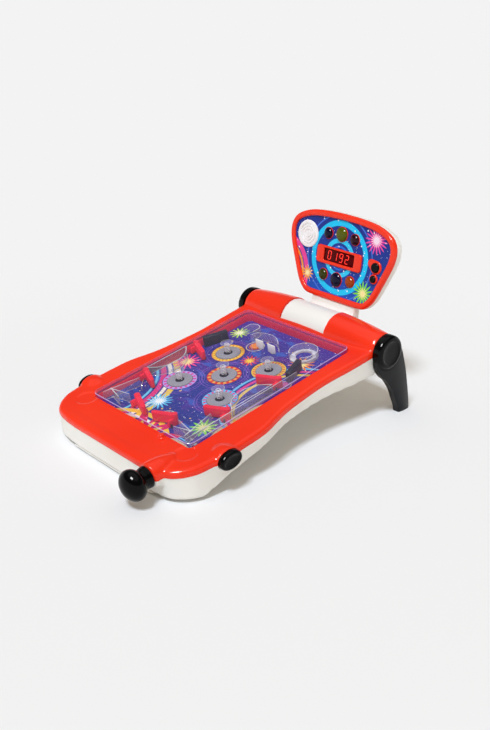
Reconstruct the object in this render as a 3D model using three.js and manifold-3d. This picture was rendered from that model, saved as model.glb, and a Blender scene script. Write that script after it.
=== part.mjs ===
// Tabletop toy pinball game: a two-piece case on legs, a covered play board and a score head on a rear tube.
// Lengths are in millimetres, angles in degrees. Z is up, the player stands at -Y, +X is the player's right.
// The level frame stands on the floor. The deck frame is that frame leaned by the slope of the board, with
// its zero height on the board. The head frame has its origin on the axis of the rear tube.
import * as THREE from "three";
import { mergeVertices } from "three/addons/utils/BufferGeometryUtils.js";
import Module from "manifold-3d";

const TURN = Math.PI * 2;
const QUARTER = Math.PI / 2;
const rad = THREE.MathUtils.degToRad;

// Clearances
const FIT = 0.3;
const STAND = 0.2;
const SHAFT_FIT = 0.5;
const SEAM_HALF_GAP = 0.15;
const WELD = 1e-4;

// Heights of the deck, above the floor at its start and above the board along it
const SLOPE = 9.85;
const DECK_Z = 55.7;
const SEAM_H = 4.4;
const SHELL_TOP_H = 14;
const SIN = Math.sin(rad(SLOPE));
const COS = Math.cos(rad(SLOPE));
const deckLineZ = (levelY) => DECK_Z + (levelY * SIN) / COS;

// Well for the play board, the clear cover over it and the cover's rebate
const WELL_HALF = 106;
const WELL_FRONT = -91.5;
const WELL_BACK = 204;
const WELL_CORNER = 8;
const WELL_WALL = 2.4;
const BOARD_THICK = 2;
const LIP_WIDTH = 2;
const LIP_THICK = 2;
const LIP_TOP_H = -BOARD_THICK - FIT;
const WELL_BOTTOM_H = LIP_TOP_H - LIP_THICK;
const COVER_LAP = 2;
const COVER_RISE = 6;
const COVER_TOP_H = SHELL_TOP_H + COVER_RISE;
const COVER_WALL = 1.6;
const COVER_EDGE = 1.2;
const CEILING_H = COVER_TOP_H - COVER_WALL;
const REBATE_DEPTH = 3;
const LEDGE_H = SHELL_TOP_H - REBATE_DEPTH;
const LEDGE_THICK = 1.8;
const SHOULDER_H = LEDGE_H - LEDGE_THICK;
const SHOULDER_WALL = 2.6;

// Case. Its side is given by how far it stands beyond the well, at shares of the way from front to rear tube.
const FRONT_APRON = 57;
const CASE_FRONT = WELL_FRONT - FRONT_APRON;
const FLOOR_Z = 4.8;
const BASE_WALL = 2.2;
const SHELL_WALL = 2.4;
const SHELL_EDGE_IN = 8.5;
const SHELL_EDGE_DOWN = 8;
const CUT_REACH = 400;
const CASE_BEYOND = [-31, -3, 19, 29, 35.6, 40.8, 43.2, 43.5, 43, 40.4, 34.5, 29.5, 26, 24, 24.6, 27, 28.5];
const CASE_SIDE_SHARES = [
  0, 0.0052, 0.0168, 0.0401, 0.0634, 0.0919, 0.1566, 0.242, 0.3429, 0.3947, 0.449, 0.506, 0.5914, 0.6768,
  0.7466, 0.8139, 0.9097,
];
const ARCH_START_BACK = 43.5;
const ARCH_START = CASE_FRONT + ARCH_START_BACK;
const ARCH_PULL_BEHIND = 128.5;
const ARCH_PULL_DROP = 2.2;

// Rear tube, its hub and the room for them
const TUBE_BEHIND = 38.26;
const TUBE_RISE = 4.62;
const TUBE_DECK_Y = WELL_BACK + TUBE_BEHIND;
const TUBE_Y = TUBE_DECK_Y * COS - TUBE_RISE * SIN;
const TUBE_Z = DECK_Z + TUBE_DECK_Y * SIN + TUBE_RISE * COS;
const TUBE_ON_DECK = [TUBE_DECK_Y, TUBE_RISE];
const TUBE_BEYOND = 28.9;
const TUBE_END_X = WELL_HALF + TUBE_BEYOND;
const TUBE_TAPER = 8.9;
const TUBE_TAPER_POWER = 2.3;
const TUBE_EDGE = 1.5;
const HUB_RADIUS = 31.2;
const HUB_HALF = 45;
const HUB_FIT = 0.5;
const HUB_WALL = 2.6;
const HUB_SHELL = 1.8;
const TUBE_RADIUS = HUB_RADIUS + HUB_FIT + HUB_SHELL;
const TUBE_END_RADIUS = TUBE_RADIUS - TUBE_TAPER;
const STUD_RADIUS = 8;
const STUD_LENGTH = 4;
const WEB_MARGIN = 5;

// Points that shape the arch under the case near the tube: ahead of the tube's axis, and down from the deck
const ARCH_AHEAD = [177.9, 32.9, 15.9, 0];
const ARCH_DROP = [8.1, 23.3, 24.7, 22];

// Layout of the play field. Places across it are from its centre, or in from its sides.
const LANE_WIDTH = 21.6;
const LANE_WALL_X = WELL_HALF - LANE_WIDTH;
const FIELD_SHIFT = 1.7;
const FIELD_CENTRE_X = (LANE_WALL_X - WELL_HALF) / 2 - FIELD_SHIFT;
const FIELD_HALF = WELL_HALF + FIELD_CENTRE_X;
const fieldX = (side, inward) => FIELD_CENTRE_X + side * (FIELD_HALF - inward);
const fieldY = (share) => WELL_FRONT + share * (WELL_BACK - WELL_FRONT);
const LOW_FLIPPER_BACK = 35.6;
const MIDDLE_FLIPPER_BACK = 86.3;
const HIGH_FLIPPER_AHEAD = 113.3;
const LOW_FLIPPER_Y = WELL_FRONT + LOW_FLIPPER_BACK;
const MIDDLE_FLIPPER_Y = WELL_FRONT + MIDDLE_FLIPPER_BACK;
const HIGH_FLIPPER_Y = WELL_BACK - HIGH_FLIPPER_AHEAD;

// Play board
const DISC_RADIUS = 18.6;
const DISC_RISE = 0.8;
const POST_RADIUS = 2.2;
const POST_HALF_X = 17;
const POST_IN = 5;

// Bumpers
const BUMPER_SIDE = 43.5;
const BUMPER_SHARES = [0.3766, 0.5347, 0.6927];
const BUMPERS = [
  [FIELD_CENTRE_X - BUMPER_SIDE, fieldY(BUMPER_SHARES[0])],
  [FIELD_CENTRE_X - BUMPER_SIDE, fieldY(BUMPER_SHARES[2])],
  [FIELD_CENTRE_X, fieldY(BUMPER_SHARES[1])],
  [FIELD_CENTRE_X + BUMPER_SIDE, fieldY(BUMPER_SHARES[0])],
  [FIELD_CENTRE_X + BUMPER_SIDE, fieldY(BUMPER_SHARES[2])],
];
const CAP_STEM = 2.6;
const CAP_RADIUS = 9.5;
const CAP_ROOM = 0.6;
const CAP_TOP_H = CEILING_H - CAP_ROOM;
const CAP_LIP = 0.8;
const CAP_RIM_H = CAP_TOP_H - CAP_LIP;
const CAP_FLARE = 6.5;
const CAP_FLARE_H = CAP_RIM_H - CAP_FLARE;
const CAP_RIM = 1.2;
const CAP_DIP_RADIUS = 3.2;
const CAP_DIP = 5.2;
const SPRING_ROOM = 1;
const SPRING_WIRE = 0.7;
const SPRING_RADIUS = CAP_STEM + SPRING_ROOM + SPRING_WIRE;
const SPRING_TOP_H = CAP_FLARE_H + STAND;
const SPRING_CURLS = 4;

// Flippers, their push bars and buttons
const FLIPPER_SIDE = 41;
const FLIPPER_LEFT_IN = 5.7;
const FLIPPER_RIGHT_IN = 4.5;
const FLIPPERS_LEFT = [
  [FIELD_CENTRE_X - FLIPPER_SIDE, LOW_FLIPPER_Y],
  [fieldX(-1, FLIPPER_LEFT_IN), MIDDLE_FLIPPER_Y],
  [fieldX(-1, FLIPPER_LEFT_IN), HIGH_FLIPPER_Y],
];
const FLIPPERS_RIGHT = [
  [FIELD_CENTRE_X + FLIPPER_SIDE, LOW_FLIPPER_Y],
  [fieldX(1, FLIPPER_RIGHT_IN), MIDDLE_FLIPPER_Y],
  [fieldX(1, FLIPPER_RIGHT_IN), HIGH_FLIPPER_Y],
];
const BOSS_RADIUS = 4.3;
const BOSS_ROOM = 2.1;
const BOSS_TOP_H = CEILING_H - BOSS_ROOM;
const BLADE_WIDE = 4;
const BLADE_TIP = 3.2;
const DRAIN_HALF = 9;
const BLADE_LENGTH = FLIPPER_SIDE - DRAIN_HALF;
const BLADE_BOTTOM_H = 2;
const BLADE_ROOM = 3.4;
const BLADE_TOP_H = CEILING_H - BLADE_ROOM;
const BLADE_ANGLE = 22.5;
const PIN_REACH = 9.5;
const PIN_SIDE = 3.4;
const PIN_RADIUS = 1.1;
const PIN_TOP_H = 5;
const ARM_PAST_PIN = 2.5;
const ARM_LENGTH = PIN_REACH + ARM_PAST_PIN;
const ARM_HALF = PIN_SIDE - PIN_RADIUS - FIT;
const ARM_BOTTOM_H = 0.8;
const ARM_TOP_H = 10;
const STROKE = 6.5;
const BAR_HALF = 2.5;
const BAR_THICK = 3.4;
const BAR_TOP_H = WELL_BOTTOM_H - FIT;
const BAR_BOTTOM_H = BAR_TOP_H - BAR_THICK;
const SHAFT_RADIUS = 2;
const SHAFT_END_H = BAR_TOP_H + SHAFT_FIT + SHAFT_FIT;
const POST_OUT_OF_WELL = 16;
const BAR_POST_THICK = 5;
const BAR_POST_IN = WELL_HALF + POST_OUT_OF_WELL;
const BAR_POST_OUT = BAR_POST_IN + BAR_POST_THICK;
const BAR_POST_HALF = 5;
const BUTTON_BACK = 21.3;
const BUTTON_Y = WELL_FRONT + BUTTON_BACK;
const BUTTON_ABOVE_SEAM = 0.4;
const BUTTON_H = SEAM_H + BUTTON_ABOVE_SEAM;
const POST_ABOVE_BUTTON = 4.2;
const BAR_POST_TOP_H = BUTTON_H + POST_ABOVE_BUTTON;
const BUTTON_HALF_Y = 17.2;
const BUTTON_HALF_H = 12.2;
const BUTTON_FIT = 0.4;
const BUTTON_BEYOND = 52.5;
const BUTTON_THICK = 12;
const BUTTON_OUT_X = WELL_HALF + BUTTON_BEYOND;
const BUTTON_IN_X = BUTTON_OUT_X - BUTTON_THICK;
const BUTTON_EDGE = 2.5;
const BUTTON_DISH_SHARE = 0.66;
const BUTTON_DISH = 1;
const BUTTON_STEM = 5;
const BORE_BACK_GAP = 1;
const HOOD_WALL = 1.8;
const HOOD_BEYOND = 44.6;
const HOOD_LENGTH = 30;
const HOOD_EDGE_IN = 5.4;
const HOOD_EDGE_ALONG = 29;
const RETURN_OUTER = 4;
const RETURN_INNER = 3;

// Plunger and ball
const PLUNGER_IN = 7.5;
const PLUNGER_X = WELL_HALF - PLUNGER_IN;
const PLUNGER_H = 6.2;
const PLUNGER = [PLUNGER_X, PLUNGER_H];
const HOUSING_RADIUS = 17;
const HOUSING_AHEAD = 8;
const HOUSING_LENGTH = 34.5;
const HOUSING_FRONT = CASE_FRONT - HOUSING_AHEAD;
const HOUSING_BACK = HOUSING_FRONT + HOUSING_LENGTH;
const KNOB_AHEAD = 23;
const KNOB_Y = HOUSING_FRONT - KNOB_AHEAD;
const KNOB_RADIUS = 20.5;
const KNOB_HALF = 15.3;
const NECK_BEHIND_KNOB = 12.5;
const NECK_Y = KNOB_Y + NECK_BEHIND_KNOB;
const NECK_RADIUS = 9.5;
const COLLAR_RADIUS = 14.6;
const COLLAR_GAP = 0.7;
const COLLAR_THICK = 1.3;
const COLLAR_BACK = HOUSING_FRONT - COLLAR_GAP;
const COLLAR_FRONT = COLLAR_BACK - COLLAR_THICK;
const ROD_RADIUS = 3;
const ROD_IN_KNOB = 12.8;
const ROD_END = COLLAR_BACK - ROD_IN_KNOB;
const TIP_RADIUS = 3.5;
const TIP_LENGTH = 5;
const TIP_IN_LANE = 5.5;
const TIP_Y = WELL_FRONT + TIP_IN_LANE;
const ROD_HOLE = 4.2;
const CLIP_RADIUS = 5.1;
const CLIP_THICK = 3;
const CLIP_AHEAD = 12.5;
const CLIP_BACK = WELL_FRONT - CLIP_AHEAD;
const CLIP_FRONT = CLIP_BACK - CLIP_THICK;
const PULL_SPRING_OUTER = 4.9;
const PULL_SPRING_INNER = 3.6;
const BALL_RADIUS = 6;
const PEG_IN = 51;
const PEG_AHEAD = 6.1;
const PEG = [WELL_HALF - PEG_IN, WELL_FRONT - PEG_AHEAD];
const PEG_RADIUS = 3;
const PEG_RISE = 2.5;

// Pieces on the board. Back is measured from the well's front wall, ahead from its rear wall.
const GUIDE_HALF = 0.8;
const GUIDE_ROOM = 4.4;
const GUIDE_TOP_H = CEILING_H - GUIDE_ROOM;
const HOOD_CENTRE = -51;
const HOOD_LINE = [
  [-10.5, 41],
  [-10.5, 28],
  [-7.5, 23],
  [0, 20.5],
  [7.5, 23],
  [10.5, 28],
  [10.5, 41],
];
const ARCH_CENTRE = -9;
const ARCH_LINE = [
  [-28.5, 49],
  [-23.5, 40],
  [-14.5, 34],
  [1.5, 31.5],
  [15.5, 36],
  [28.5, 46],
];
const SIDE_GUIDE_IN = [1, 15.5, 24, 18.5, 1];
const SIDE_GUIDE_SHARES = [0, 0.16, 0.4533, 0.7733, 1];
const SIDE_GUIDE_AHEAD = 15.7;
const SIDE_GUIDE_BEHIND = 5.2;
const LANE_BACK = 7.5;
const LANE_AHEAD = 86;
const FAN_POST_IN = 6;
const FAN_POST_BACK = 24.5;
const FAN_POST_RADIUS = 2.4;
const FAN_END_IN = [15.5, 3.5];
const FAN_END_BACK = [67.5, 11.5];
const FAN_OUT_OF_FLIPPER = [13, 19];
const FAN_AHEAD_OF_FLIPPER = [4.1, 18.1];
const CUP_SIDE = 58.5;
const CUP_AHEAD = 34;
const CUP = [FIELD_CENTRE_X + CUP_SIDE, WELL_BACK - CUP_AHEAD];
const CUP_RADIUS = 22;
const CUP_INNER_RADIUS = 13.5;
const CUP_WALL = 1.5;
const CUP_FLOOR = 1.6;
const CUP_TOP_H = 11;
const CUP_INNER_TOP_H = 5;
const CUP_DOOR_HALF = 11;
const DEFLECTOR_HALF = 4;
const DEFLECTOR_ROOM = 2.4;
const DEFLECTOR_TOP_H = CEILING_H - DEFLECTOR_ROOM;
const DEFLECTOR_AHEAD = [98, 62];
const DEFLECTOR_LEFT_IN = [4.6, 18];
const DEFLECTOR_RIGHT_IN = [2.5, 16];
const TARGET_SIDES = [-13.5, 11.5];
const TARGET_X = TARGET_SIDES.map((side) => FIELD_CENTRE_X + side);
const TARGET_AHEAD = 53;
const TARGET_Y = WELL_BACK - TARGET_AHEAD;
const TARGET_HALF_X = 7.5;
const TARGET_HALF_Y = 1;
const TARGET_BOTTOM_H = 0.6;
const TARGET_ROOM = 4.8;
const TARGET_TOP_H = CEILING_H - TARGET_ROOM;
const TANG_HALF_X = 3.5;
const TANG_BELOW = 2;
const TANG_BOTTOM_H = -BOARD_THICK - TANG_BELOW;
const TANG_SLOT_HALF_Y = 2.2;

// Cells, battery bay, circuit board and feet
const CELL_RADIUS = 7.25;
const CELL_LENGTH = 49.5;
const CELL_TIP_RADIUS = 2.7;
const CELL_TIP = 1;
const CELL_SPACE = 2;
const CELL_PITCH = CELL_LENGTH + CELL_SPACE;
const CELL_RIB = 1.6;
const CELL_RIB_HEIGHT = 10;
const BAY_END = 1.75;
const CELL_COUNT = 3;
const BAY_HALF_X = (CELL_COUNT * CELL_PITCH) / 2 + BAY_END;
const BAY_BEHIND_FRONT = 7.5;
const BAY_ROOM = 7.75;
const BAY_FRONT = CASE_FRONT + BAY_BEHIND_FRONT;
const BAY_BACK = BAY_FRONT + 2 * (CELL_RADIUS + BAY_ROOM);
const DOOR_LAP = 4;
const DOOR_TAB = 12;
const DOOR_THICK = 1.6;
const SCREW_OUT = 5.5;
const SCREW_X = BAY_HALF_X + SCREW_OUT;
const SCREW_RADIUS = 1.5;
const SCREW_HEAD = 3;
const SCREW_HEAD_THICK = 1.2;
const CIRCUIT_HALF_X = 22;
const CIRCUIT_LENGTH = 40;
const CIRCUIT_AHEAD = 100;
const CIRCUIT_FRONT = WELL_BACK - CIRCUIT_AHEAD;
const CIRCUIT_BACK = CIRCUIT_FRONT + CIRCUIT_LENGTH;
const CIRCUIT_ROOM = 0.6;
const CIRCUIT_THICK = 1.6;
const CIRCUIT_TOP_H = BAR_BOTTOM_H - CIRCUIT_ROOM;
const CIRCUIT_BOTTOM_H = CIRCUIT_TOP_H - CIRCUIT_THICK;
const CHIP_HALF_X = 7;
const CHIP_HALF_Y = 6;
const CHIP_THICK = 1.8;
const FOOT_RADIUS = 7;
const FOOT_OUT = 10;
const FOOT_X = BAY_HALF_X + DOOR_TAB + FOOT_OUT + FOOT_RADIUS;
const FOOT_BEHIND_FRONT = 24.5;
const FOOT_Y = CASE_FRONT + FOOT_BEHIND_FRONT;
const FOOT_STEM = 2.5;
const FOOT_STEM_LENGTH = 3;

// Legs. Their lines are given behind the tube's axis, at shares of its height.
const DRUM_LAP = 0.9;
const DRUM_RADIUS = TUBE_END_RADIUS + DRUM_LAP;
const DRUM_IN_X = TUBE_END_X + FIT;
const DRUM_THICK = 13.8;
const DRUM_OUT_X = DRUM_IN_X + DRUM_THICK;
const DRUM_EDGE = 3.5;
const DRUM_DISH_IN = 6;
const DRUM_DISH_RADIUS = DRUM_RADIUS - DRUM_DISH_IN;
const DRUM_DISH = 2;
const LEG_STUD_LENGTH = 8.2;
const LEG_STUD_IN_X = DRUM_IN_X - LEG_STUD_LENGTH;
const LEG_SUNK = 0.8;
const LEG_IN_X = DRUM_IN_X + LEG_SUNK;
const LEG_CREST_IN = 1.5;
const LEG_SIDE_IN = 7;
const LEG_CREST_X = DRUM_OUT_X - LEG_CREST_IN;
const LEG_SIDE_X = DRUM_OUT_X - LEG_SIDE_IN;
const LEG_FRONT_BEHIND = [-23.9, -15.9, -3.9, 9.1, 17.1, 22.1, 23.1];
const LEG_FRONT_SHARES = [0.8063, 0.6726, 0.5772, 0.3992, 0.2153, 0.0885, 0];
const LEG_REAR_BEHIND = [54.1, 53.1, 48.1, 42.1, 33.1, 25.1, 12.6];
const LEG_REAR_SHARES = [0, 0.1377, 0.3589, 0.6096, 0.8653, 1.0423, 1.1672];
const LEG_CREST_LOW_BEHIND = 39.1;
const LEG_CREST_HIGH_BEHIND = 5.1;
const LEG_CREST_HIGH_SHARE = 0.9046;
const LEG_SPREAD = 60;

// Score head, in the frame of the rear tube
const HEAD_LEAN = 7.955;
const FACE_Y = 31;
const BEZEL_THICK = 6;
const BACK_Y = FACE_Y + BEZEL_THICK;
const RECESS = 3.9;
const CASE_INSET = 1;
const CASE_THICK = 12;
const CASE_WALL = 2.2;
const CASE_EDGE = 4;
const BEZEL_EDGE = 1.6;
const RECESS_INSET = 8.5;
const PANEL_THICK = 0.7;
const FRAME_HALF_X = 44.5;
const FRAME_LOW_Z = 88.4;
const FRAME_HIGH_Z = 115.4;
const FRAME_CORNER = 4;
const FRAME_SINK = 0.6;
const FRAME_RISE_Y = FACE_Y + FRAME_SINK;
const HEAD_BEYOND = [-0.8, 8.5, 16.5, 28.5, 42.3, 53.3, 56.5, 52.5, 41.1, 21.2, 0.5];
const HEAD_UP = [-53, -51.8, -47.4, -33.6, -4.6, 21.6, 40, 55, 66.4, 75.5, 78.5];
const HEAD_CROWN_UP = 80.2;
const HEAD_SIDE = HEAD_BEYOND.map((beyond, i) => [FRAME_HALF_X + beyond, FRAME_LOW_Z + HEAD_UP[i]]);
const HEAD_CROWN_Z = FRAME_LOW_Z + HEAD_CROWN_UP;
const NECK_IN = 1;
const NECK_HALF_X = HUB_HALF - NECK_IN;
const NECK_REAR = [
  [22, 12.5],
  [41, 12.5],
  [46, 18],
  [46, 46],
];
const NECK_FRONT = [
  [33, 28],
  [25, 17],
];
const WINDOW_IN = 14.5;
const WINDOW_HALF_X = FRAME_HALF_X - WINDOW_IN;
const WINDOW_LOW_IN = 5;
const WINDOW_HIGH_IN = 3.5;
const WINDOW_Z = [FRAME_LOW_Z + WINDOW_LOW_IN, FRAME_HIGH_Z - WINDOW_HIGH_IN];
const WINDOW_CORNER = 2;
const WINDOW_SINK = 2.2;
const WINDOW_FRONT_Y = FACE_Y + WINDOW_SINK;
const WINDOW_FLANGE = 3;
const LENS_PLATE = 1.5;
const LENS_PLATE_IN = 4.5;
const LENS_PLATE_HALF_X = FRAME_HALF_X - LENS_PLATE_IN;
const LENS_PLATE_BELOW = 32.4;
const LENS_PLATE_ABOVE = 35.6;
const LENS_PLATE_Z = [FRAME_LOW_Z - LENS_PLATE_BELOW, FRAME_HIGH_Z + LENS_PLATE_ABOVE];
const LENS_PLATE_CORNER = 5;
const HIGH_DOME_X = 26.3;
const LOW_DOME_X = 27.1;
const SMALL_DOME_OFF = [19.6, 16.9];
const LARGE_DOME_OFF = [22.6, 20];
const SMALL_DOMES = [
  [-HIGH_DOME_X, FRAME_HIGH_Z + SMALL_DOME_OFF[0]],
  [HIGH_DOME_X, FRAME_HIGH_Z + SMALL_DOME_OFF[0]],
  [-LOW_DOME_X, FRAME_LOW_Z - SMALL_DOME_OFF[1]],
  [LOW_DOME_X, FRAME_LOW_Z - SMALL_DOME_OFF[1]],
];
const LARGE_DOMES = [
  [0, FRAME_HIGH_Z + LARGE_DOME_OFF[0]],
  [0, FRAME_LOW_Z - LARGE_DOME_OFF[1]],
];
const SMALL_DOME = 8.2;
const LARGE_DOME = 10.6;
const DOME_RIM = 1.3;
const DOME_SINK = 2;
const DOME_RISE = 4.4;
const DOME_RIM_Y = FACE_Y + DOME_SINK;
const DOME_TIP_Y = DOME_RIM_Y - DOME_RISE;
const SPEAKER_BEYOND = 23.5;
const SPEAKER_UP = 10.6;
const SPEAKER = [-FRAME_HALF_X - SPEAKER_BEYOND, FRAME_HIGH_Z + SPEAKER_UP];
const SPEAKER_RADIUS = 21;
const SPEAKER_SPIGOT = 17.5;
const SPEAKER_SINK = 1.6;
const SPEAKER_FRONT_Y = FACE_Y + SPEAKER_SINK;
const SPEAKER_RINGS = [6, 10.5, 15];
const SPEAKER_SLOT_HALF = 0.8;
const SPEAKER_DEPTH = 1;
const beside = (beyond, down, radius) => ({ x: FRAME_HALF_X + beyond, z: FRAME_HIGH_Z - down, radius });
const KIDNEY_BEYOND = [26, 25];
const KIDNEY_DOWN = [13.4, 28.4];
const KIDNEY_RADIUS = [13, 10];
const KIDNEY_TOP = beside(KIDNEY_BEYOND[0], KIDNEY_DOWN[0], KIDNEY_RADIUS[0]);
const KIDNEY_FOOT = beside(KIDNEY_BEYOND[1], KIDNEY_DOWN[1], KIDNEY_RADIUS[1]);
const KIDNEY_SINK = 0.8;
const KIDNEY_RISE_Y = FACE_Y + KIDNEY_SINK;
const KEY_BEYOND = [28.1, 26.6];
const KEY_DOWN = [11.9, 29.3];
const KEY_RADIUS = [8, 6];
const START = beside(KEY_BEYOND[0], KEY_DOWN[0], KEY_RADIUS[0]);
const MODE = beside(KEY_BEYOND[1], KEY_DOWN[1], KEY_RADIUS[1]);
const KEY_RISE = 1.4;
const KEY_FRONT_Y = FACE_Y - KEY_RISE;
const KEY_FLANGE = 1.2;
const KEY_FLANGE_THICK = 1;
const KEY_TRAVEL = 1.5;
const KEY_EDGE = 1;

// Steps of the round shapes
const TUBE_STEPS = 32;
const TUBE_RINGS = 12;
const KNOB_STEPS = 22;
const ROUND_STEPS = 16;
const SMALL_STEPS = 10;
const CORNER_STEPS = 3;
const SIDE_STEPS = 28;
const HEAD_STEPS = 22;
const EDGE_STEPS = 2;

const wasm = await Module();
wasm.setup();

// Geometry to solid and back
function solidOf(geometry) {
  const bare = geometry.clone();
  bare.deleteAttribute("normal");
  bare.deleteAttribute("uv");
  const welded = mergeVertices(bare, WELD);
  const index = Array.from(welded.index.array);
  const kept = [];
  for (let i = 0; i < index.length; i += 3) {
    const [a, b, c] = index.slice(i, i + 3);
    if (a !== b && b !== c && c !== a) kept.push(a, b, c);
  }
  const vertProperties = welded.attributes.position.array;
  const triVerts = new Uint32Array(kept);
  const solid = new wasm.Manifold(new wasm.Mesh({ numProp: 3, vertProperties, triVerts }));
  if (solid.volume() <= 0) throw new Error("a shape is inside out");
  return solid;
}

function geometryOf(solid) {
  const mesh = solid.getMesh();
  const geometry = new THREE.BufferGeometry();
  geometry.setAttribute("position", new THREE.BufferAttribute(mesh.vertProperties, 3));
  geometry.setIndex(new THREE.BufferAttribute(mesh.triVerts, 1));
  geometry.computeVertexNormals();
  return geometry;
}

const join = (...solids) => solids.reduce((a, b) => a.add(b));
const cut = (solid, ...tools) => tools.reduce((a, b) => a.subtract(b), solid);
const moved = (solid, matrix) => solidOf(geometryOf(solid).applyMatrix4(matrix));
const shifted = (solid, x, y, z) => moved(solid, new THREE.Matrix4().makeTranslation(x, y, z));

// Basic solids. Each range is [low, high].
function box([x0, x1], [y0, y1], [z0, z1]) {
  const geometry = new THREE.BoxGeometry(x1 - x0, y1 - y0, z1 - z0);
  geometry.translate((x0 + x1) / 2, (y0 + y1) / 2, (z0 + z1) / 2);
  return solidOf(geometry);
}

const AXES = {
  x: [new THREE.Vector3(0, 1, 0), new THREE.Vector3(0, 0, 1), new THREE.Vector3(1, 0, 0)],
  y: [new THREE.Vector3(1, 0, 0), new THREE.Vector3(0, 0, 1), new THREE.Vector3(0, -1, 0)],
  z: [new THREE.Vector3(1, 0, 0), new THREE.Vector3(0, 1, 0), new THREE.Vector3(0, 0, 1)],
};

// A loop drawn across an axis and carried along it. Across x the loop is (y, z), across y it is (x, z).
// An edge eases both ends; with one step it is a straight slope.
function prism(loop, axis, [low, high], edge = null) {
  const shape = new THREE.Shape(loop.map(([a, b]) => new THREE.Vector2(a, b)));
  const bevel = edge
    ? { bevelEnabled: true, bevelThickness: edge.along, bevelSize: edge.inward, bevelOffset: -edge.inward }
    : { bevelEnabled: false };
  const along = edge ? edge.along : 0;
  const bevelSegments = edge?.steps ?? EDGE_STEPS;
  const options = { depth: high - low - 2 * along, steps: 1, bevelSegments, ...bevel };
  const geometry = new THREE.ExtrudeGeometry(shape, options);
  geometry.translate(0, 0, along);
  geometry.applyMatrix4(new THREE.Matrix4().makeBasis(...AXES[axis]));
  const start = AXES[axis][2].clone().multiplyScalar(axis === "y" ? -high : low);
  geometry.translate(start.x, start.y, start.z);
  return solidOf(geometry);
}

// A profile of (radius, distance along the axis) turned about an axis through (a, b).
function turned(profile, axis, [a, b], steps) {
  const geometry = new THREE.LatheGeometry(
    profile.map(([radius, along]) => new THREE.Vector2(radius, along)),
    steps
  );
  if (axis === "x") geometry.rotateZ(-QUARTER).translate(0, a, b);
  if (axis === "y") geometry.translate(a, 0, b);
  if (axis === "z") geometry.rotateX(QUARTER).translate(a, b, 0);
  return solidOf(geometry);
}

function rod(radius, axis, place, [low, high], steps = SMALL_STEPS) {
  const profile = [
    [0, low],
    [radius, low],
    [radius, high],
    [0, high],
  ];
  return turned(profile, axis, place, steps);
}

function sleeve(outer, inner, axis, place, [low, high], steps = SMALL_STEPS) {
  const profile = [
    [inner, low],
    [outer, low],
    [outer, high],
    [inner, high],
    [inner, low],
  ];
  return turned(profile, axis, place, steps);
}

// Loops
function arc([x, y], radius, from, to, steps) {
  return Array.from({ length: steps + 1 }, (_, i) => {
    const angle = from + ((to - from) * i) / steps;
    return [x + radius * Math.cos(angle), y + radius * Math.sin(angle)];
  });
}

function circle(centre, radius, steps) {
  return arc(centre, radius, 0, TURN, steps).slice(0, steps);
}

function roundedBox([x0, x1], [y0, y1], radius) {
  const corners = [
    [x1 - radius, y1 - radius],
    [x0 + radius, y1 - radius],
    [x0 + radius, y0 + radius],
    [x1 - radius, y0 + radius],
  ];
  return corners.flatMap((centre, i) => arc(centre, radius, i * QUARTER, (i + 1) * QUARTER, CORNER_STEPS));
}

function taperedBar(wide, tip, length, angle) {
  const lean = Math.acos((wide - tip) / length);
  const loop = [
    ...arc([0, 0], wide, lean, TURN - lean, SMALL_STEPS),
    ...arc([length, 0], tip, -lean, lean, SMALL_STEPS / 2),
  ];
  return loop.map(([x, y]) => [
    x * Math.cos(angle) - y * Math.sin(angle),
    x * Math.sin(angle) + y * Math.cos(angle),
  ]);
}

function smooth(points, steps) {
  const curve = new THREE.SplineCurve(points.map(([x, y]) => new THREE.Vector2(x, y)));
  return curve.getPoints(steps).map((point) => [point.x, point.y]);
}

const outwardOf = ([x0, y0], [x1, y1]) => new THREE.Vector2(y1 - y0, x0 - x1).normalize();

function insetLoop(loop, inset) {
  return loop.map((point, i) => {
    const before = outwardOf(loop.at(i - 1), point);
    const after = outwardOf(point, loop[(i + 1) % loop.length]);
    const mean = before.clone().add(after).normalize();
    const step = inset / mean.dot(before);
    return [point[0] - mean.x * step, point[1] - mean.y * step];
  });
}

function ribbon(line, half) {
  const sideOf = (side) =>
    line.map((point, i) => {
      const before = outwardOf(line[Math.max(i - 1, 0)], line[Math.max(i, 1)]);
      const after = outwardOf(line[Math.min(i, line.length - 2)], line[Math.min(i + 1, line.length - 1)]);
      const mean = before.clone().add(after).normalize();
      const step = (side * half) / mean.dot(before);
      return [point[0] + mean.x * step, point[1] + mean.y * step];
    });
  return [...sideOf(1), ...sideOf(-1).reverse()];
}

const between = (a, b) => [Math.min(a, b), Math.max(a, b)];
const mirroredX = (points, side, centre = 0) => points.map(([x, y]) => [centre + side * (x - centre), y]);

// Frames
const root = new THREE.Group();
const deck = new THREE.Group();
deck.position.set(0, 0, DECK_Z);
deck.rotation.x = rad(SLOPE);
deck.updateMatrix();
const head = new THREE.Group();
head.position.set(0, TUBE_Y, TUBE_Z);
head.rotation.x = -rad(HEAD_LEAN);
root.add(deck, head);

const deckY = (levelY, h) => (levelY + h * SIN) / COS;
const inLevel = (solid) => moved(solid, deck.matrix);

function add(name, solid, colour, group) {
  const material = new THREE.MeshStandardMaterial({ color: colour, name: name + "_finish" });
  const mesh = new THREE.Mesh(geometryOf(solid), material);
  mesh.name = name;
  group.add(mesh);
}

// Outline of the case in plan, in the frame whose Y is given by placeY.
function caseOutline(placeY) {
  const sideY = (share) => CASE_FRONT + share * (TUBE_Y - CASE_FRONT);
  const points = CASE_BEYOND.map((beyond, i) => [WELL_HALF + beyond, sideY(CASE_SIDE_SHARES[i])]);
  const side = smooth([...points, [TUBE_END_X, TUBE_Y]], SIDE_STEPS);
  const right = side.map(([x, y]) => [x, placeY(y)]);
  return [...right, ...mirroredX(right, -1).reverse()];
}

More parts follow.
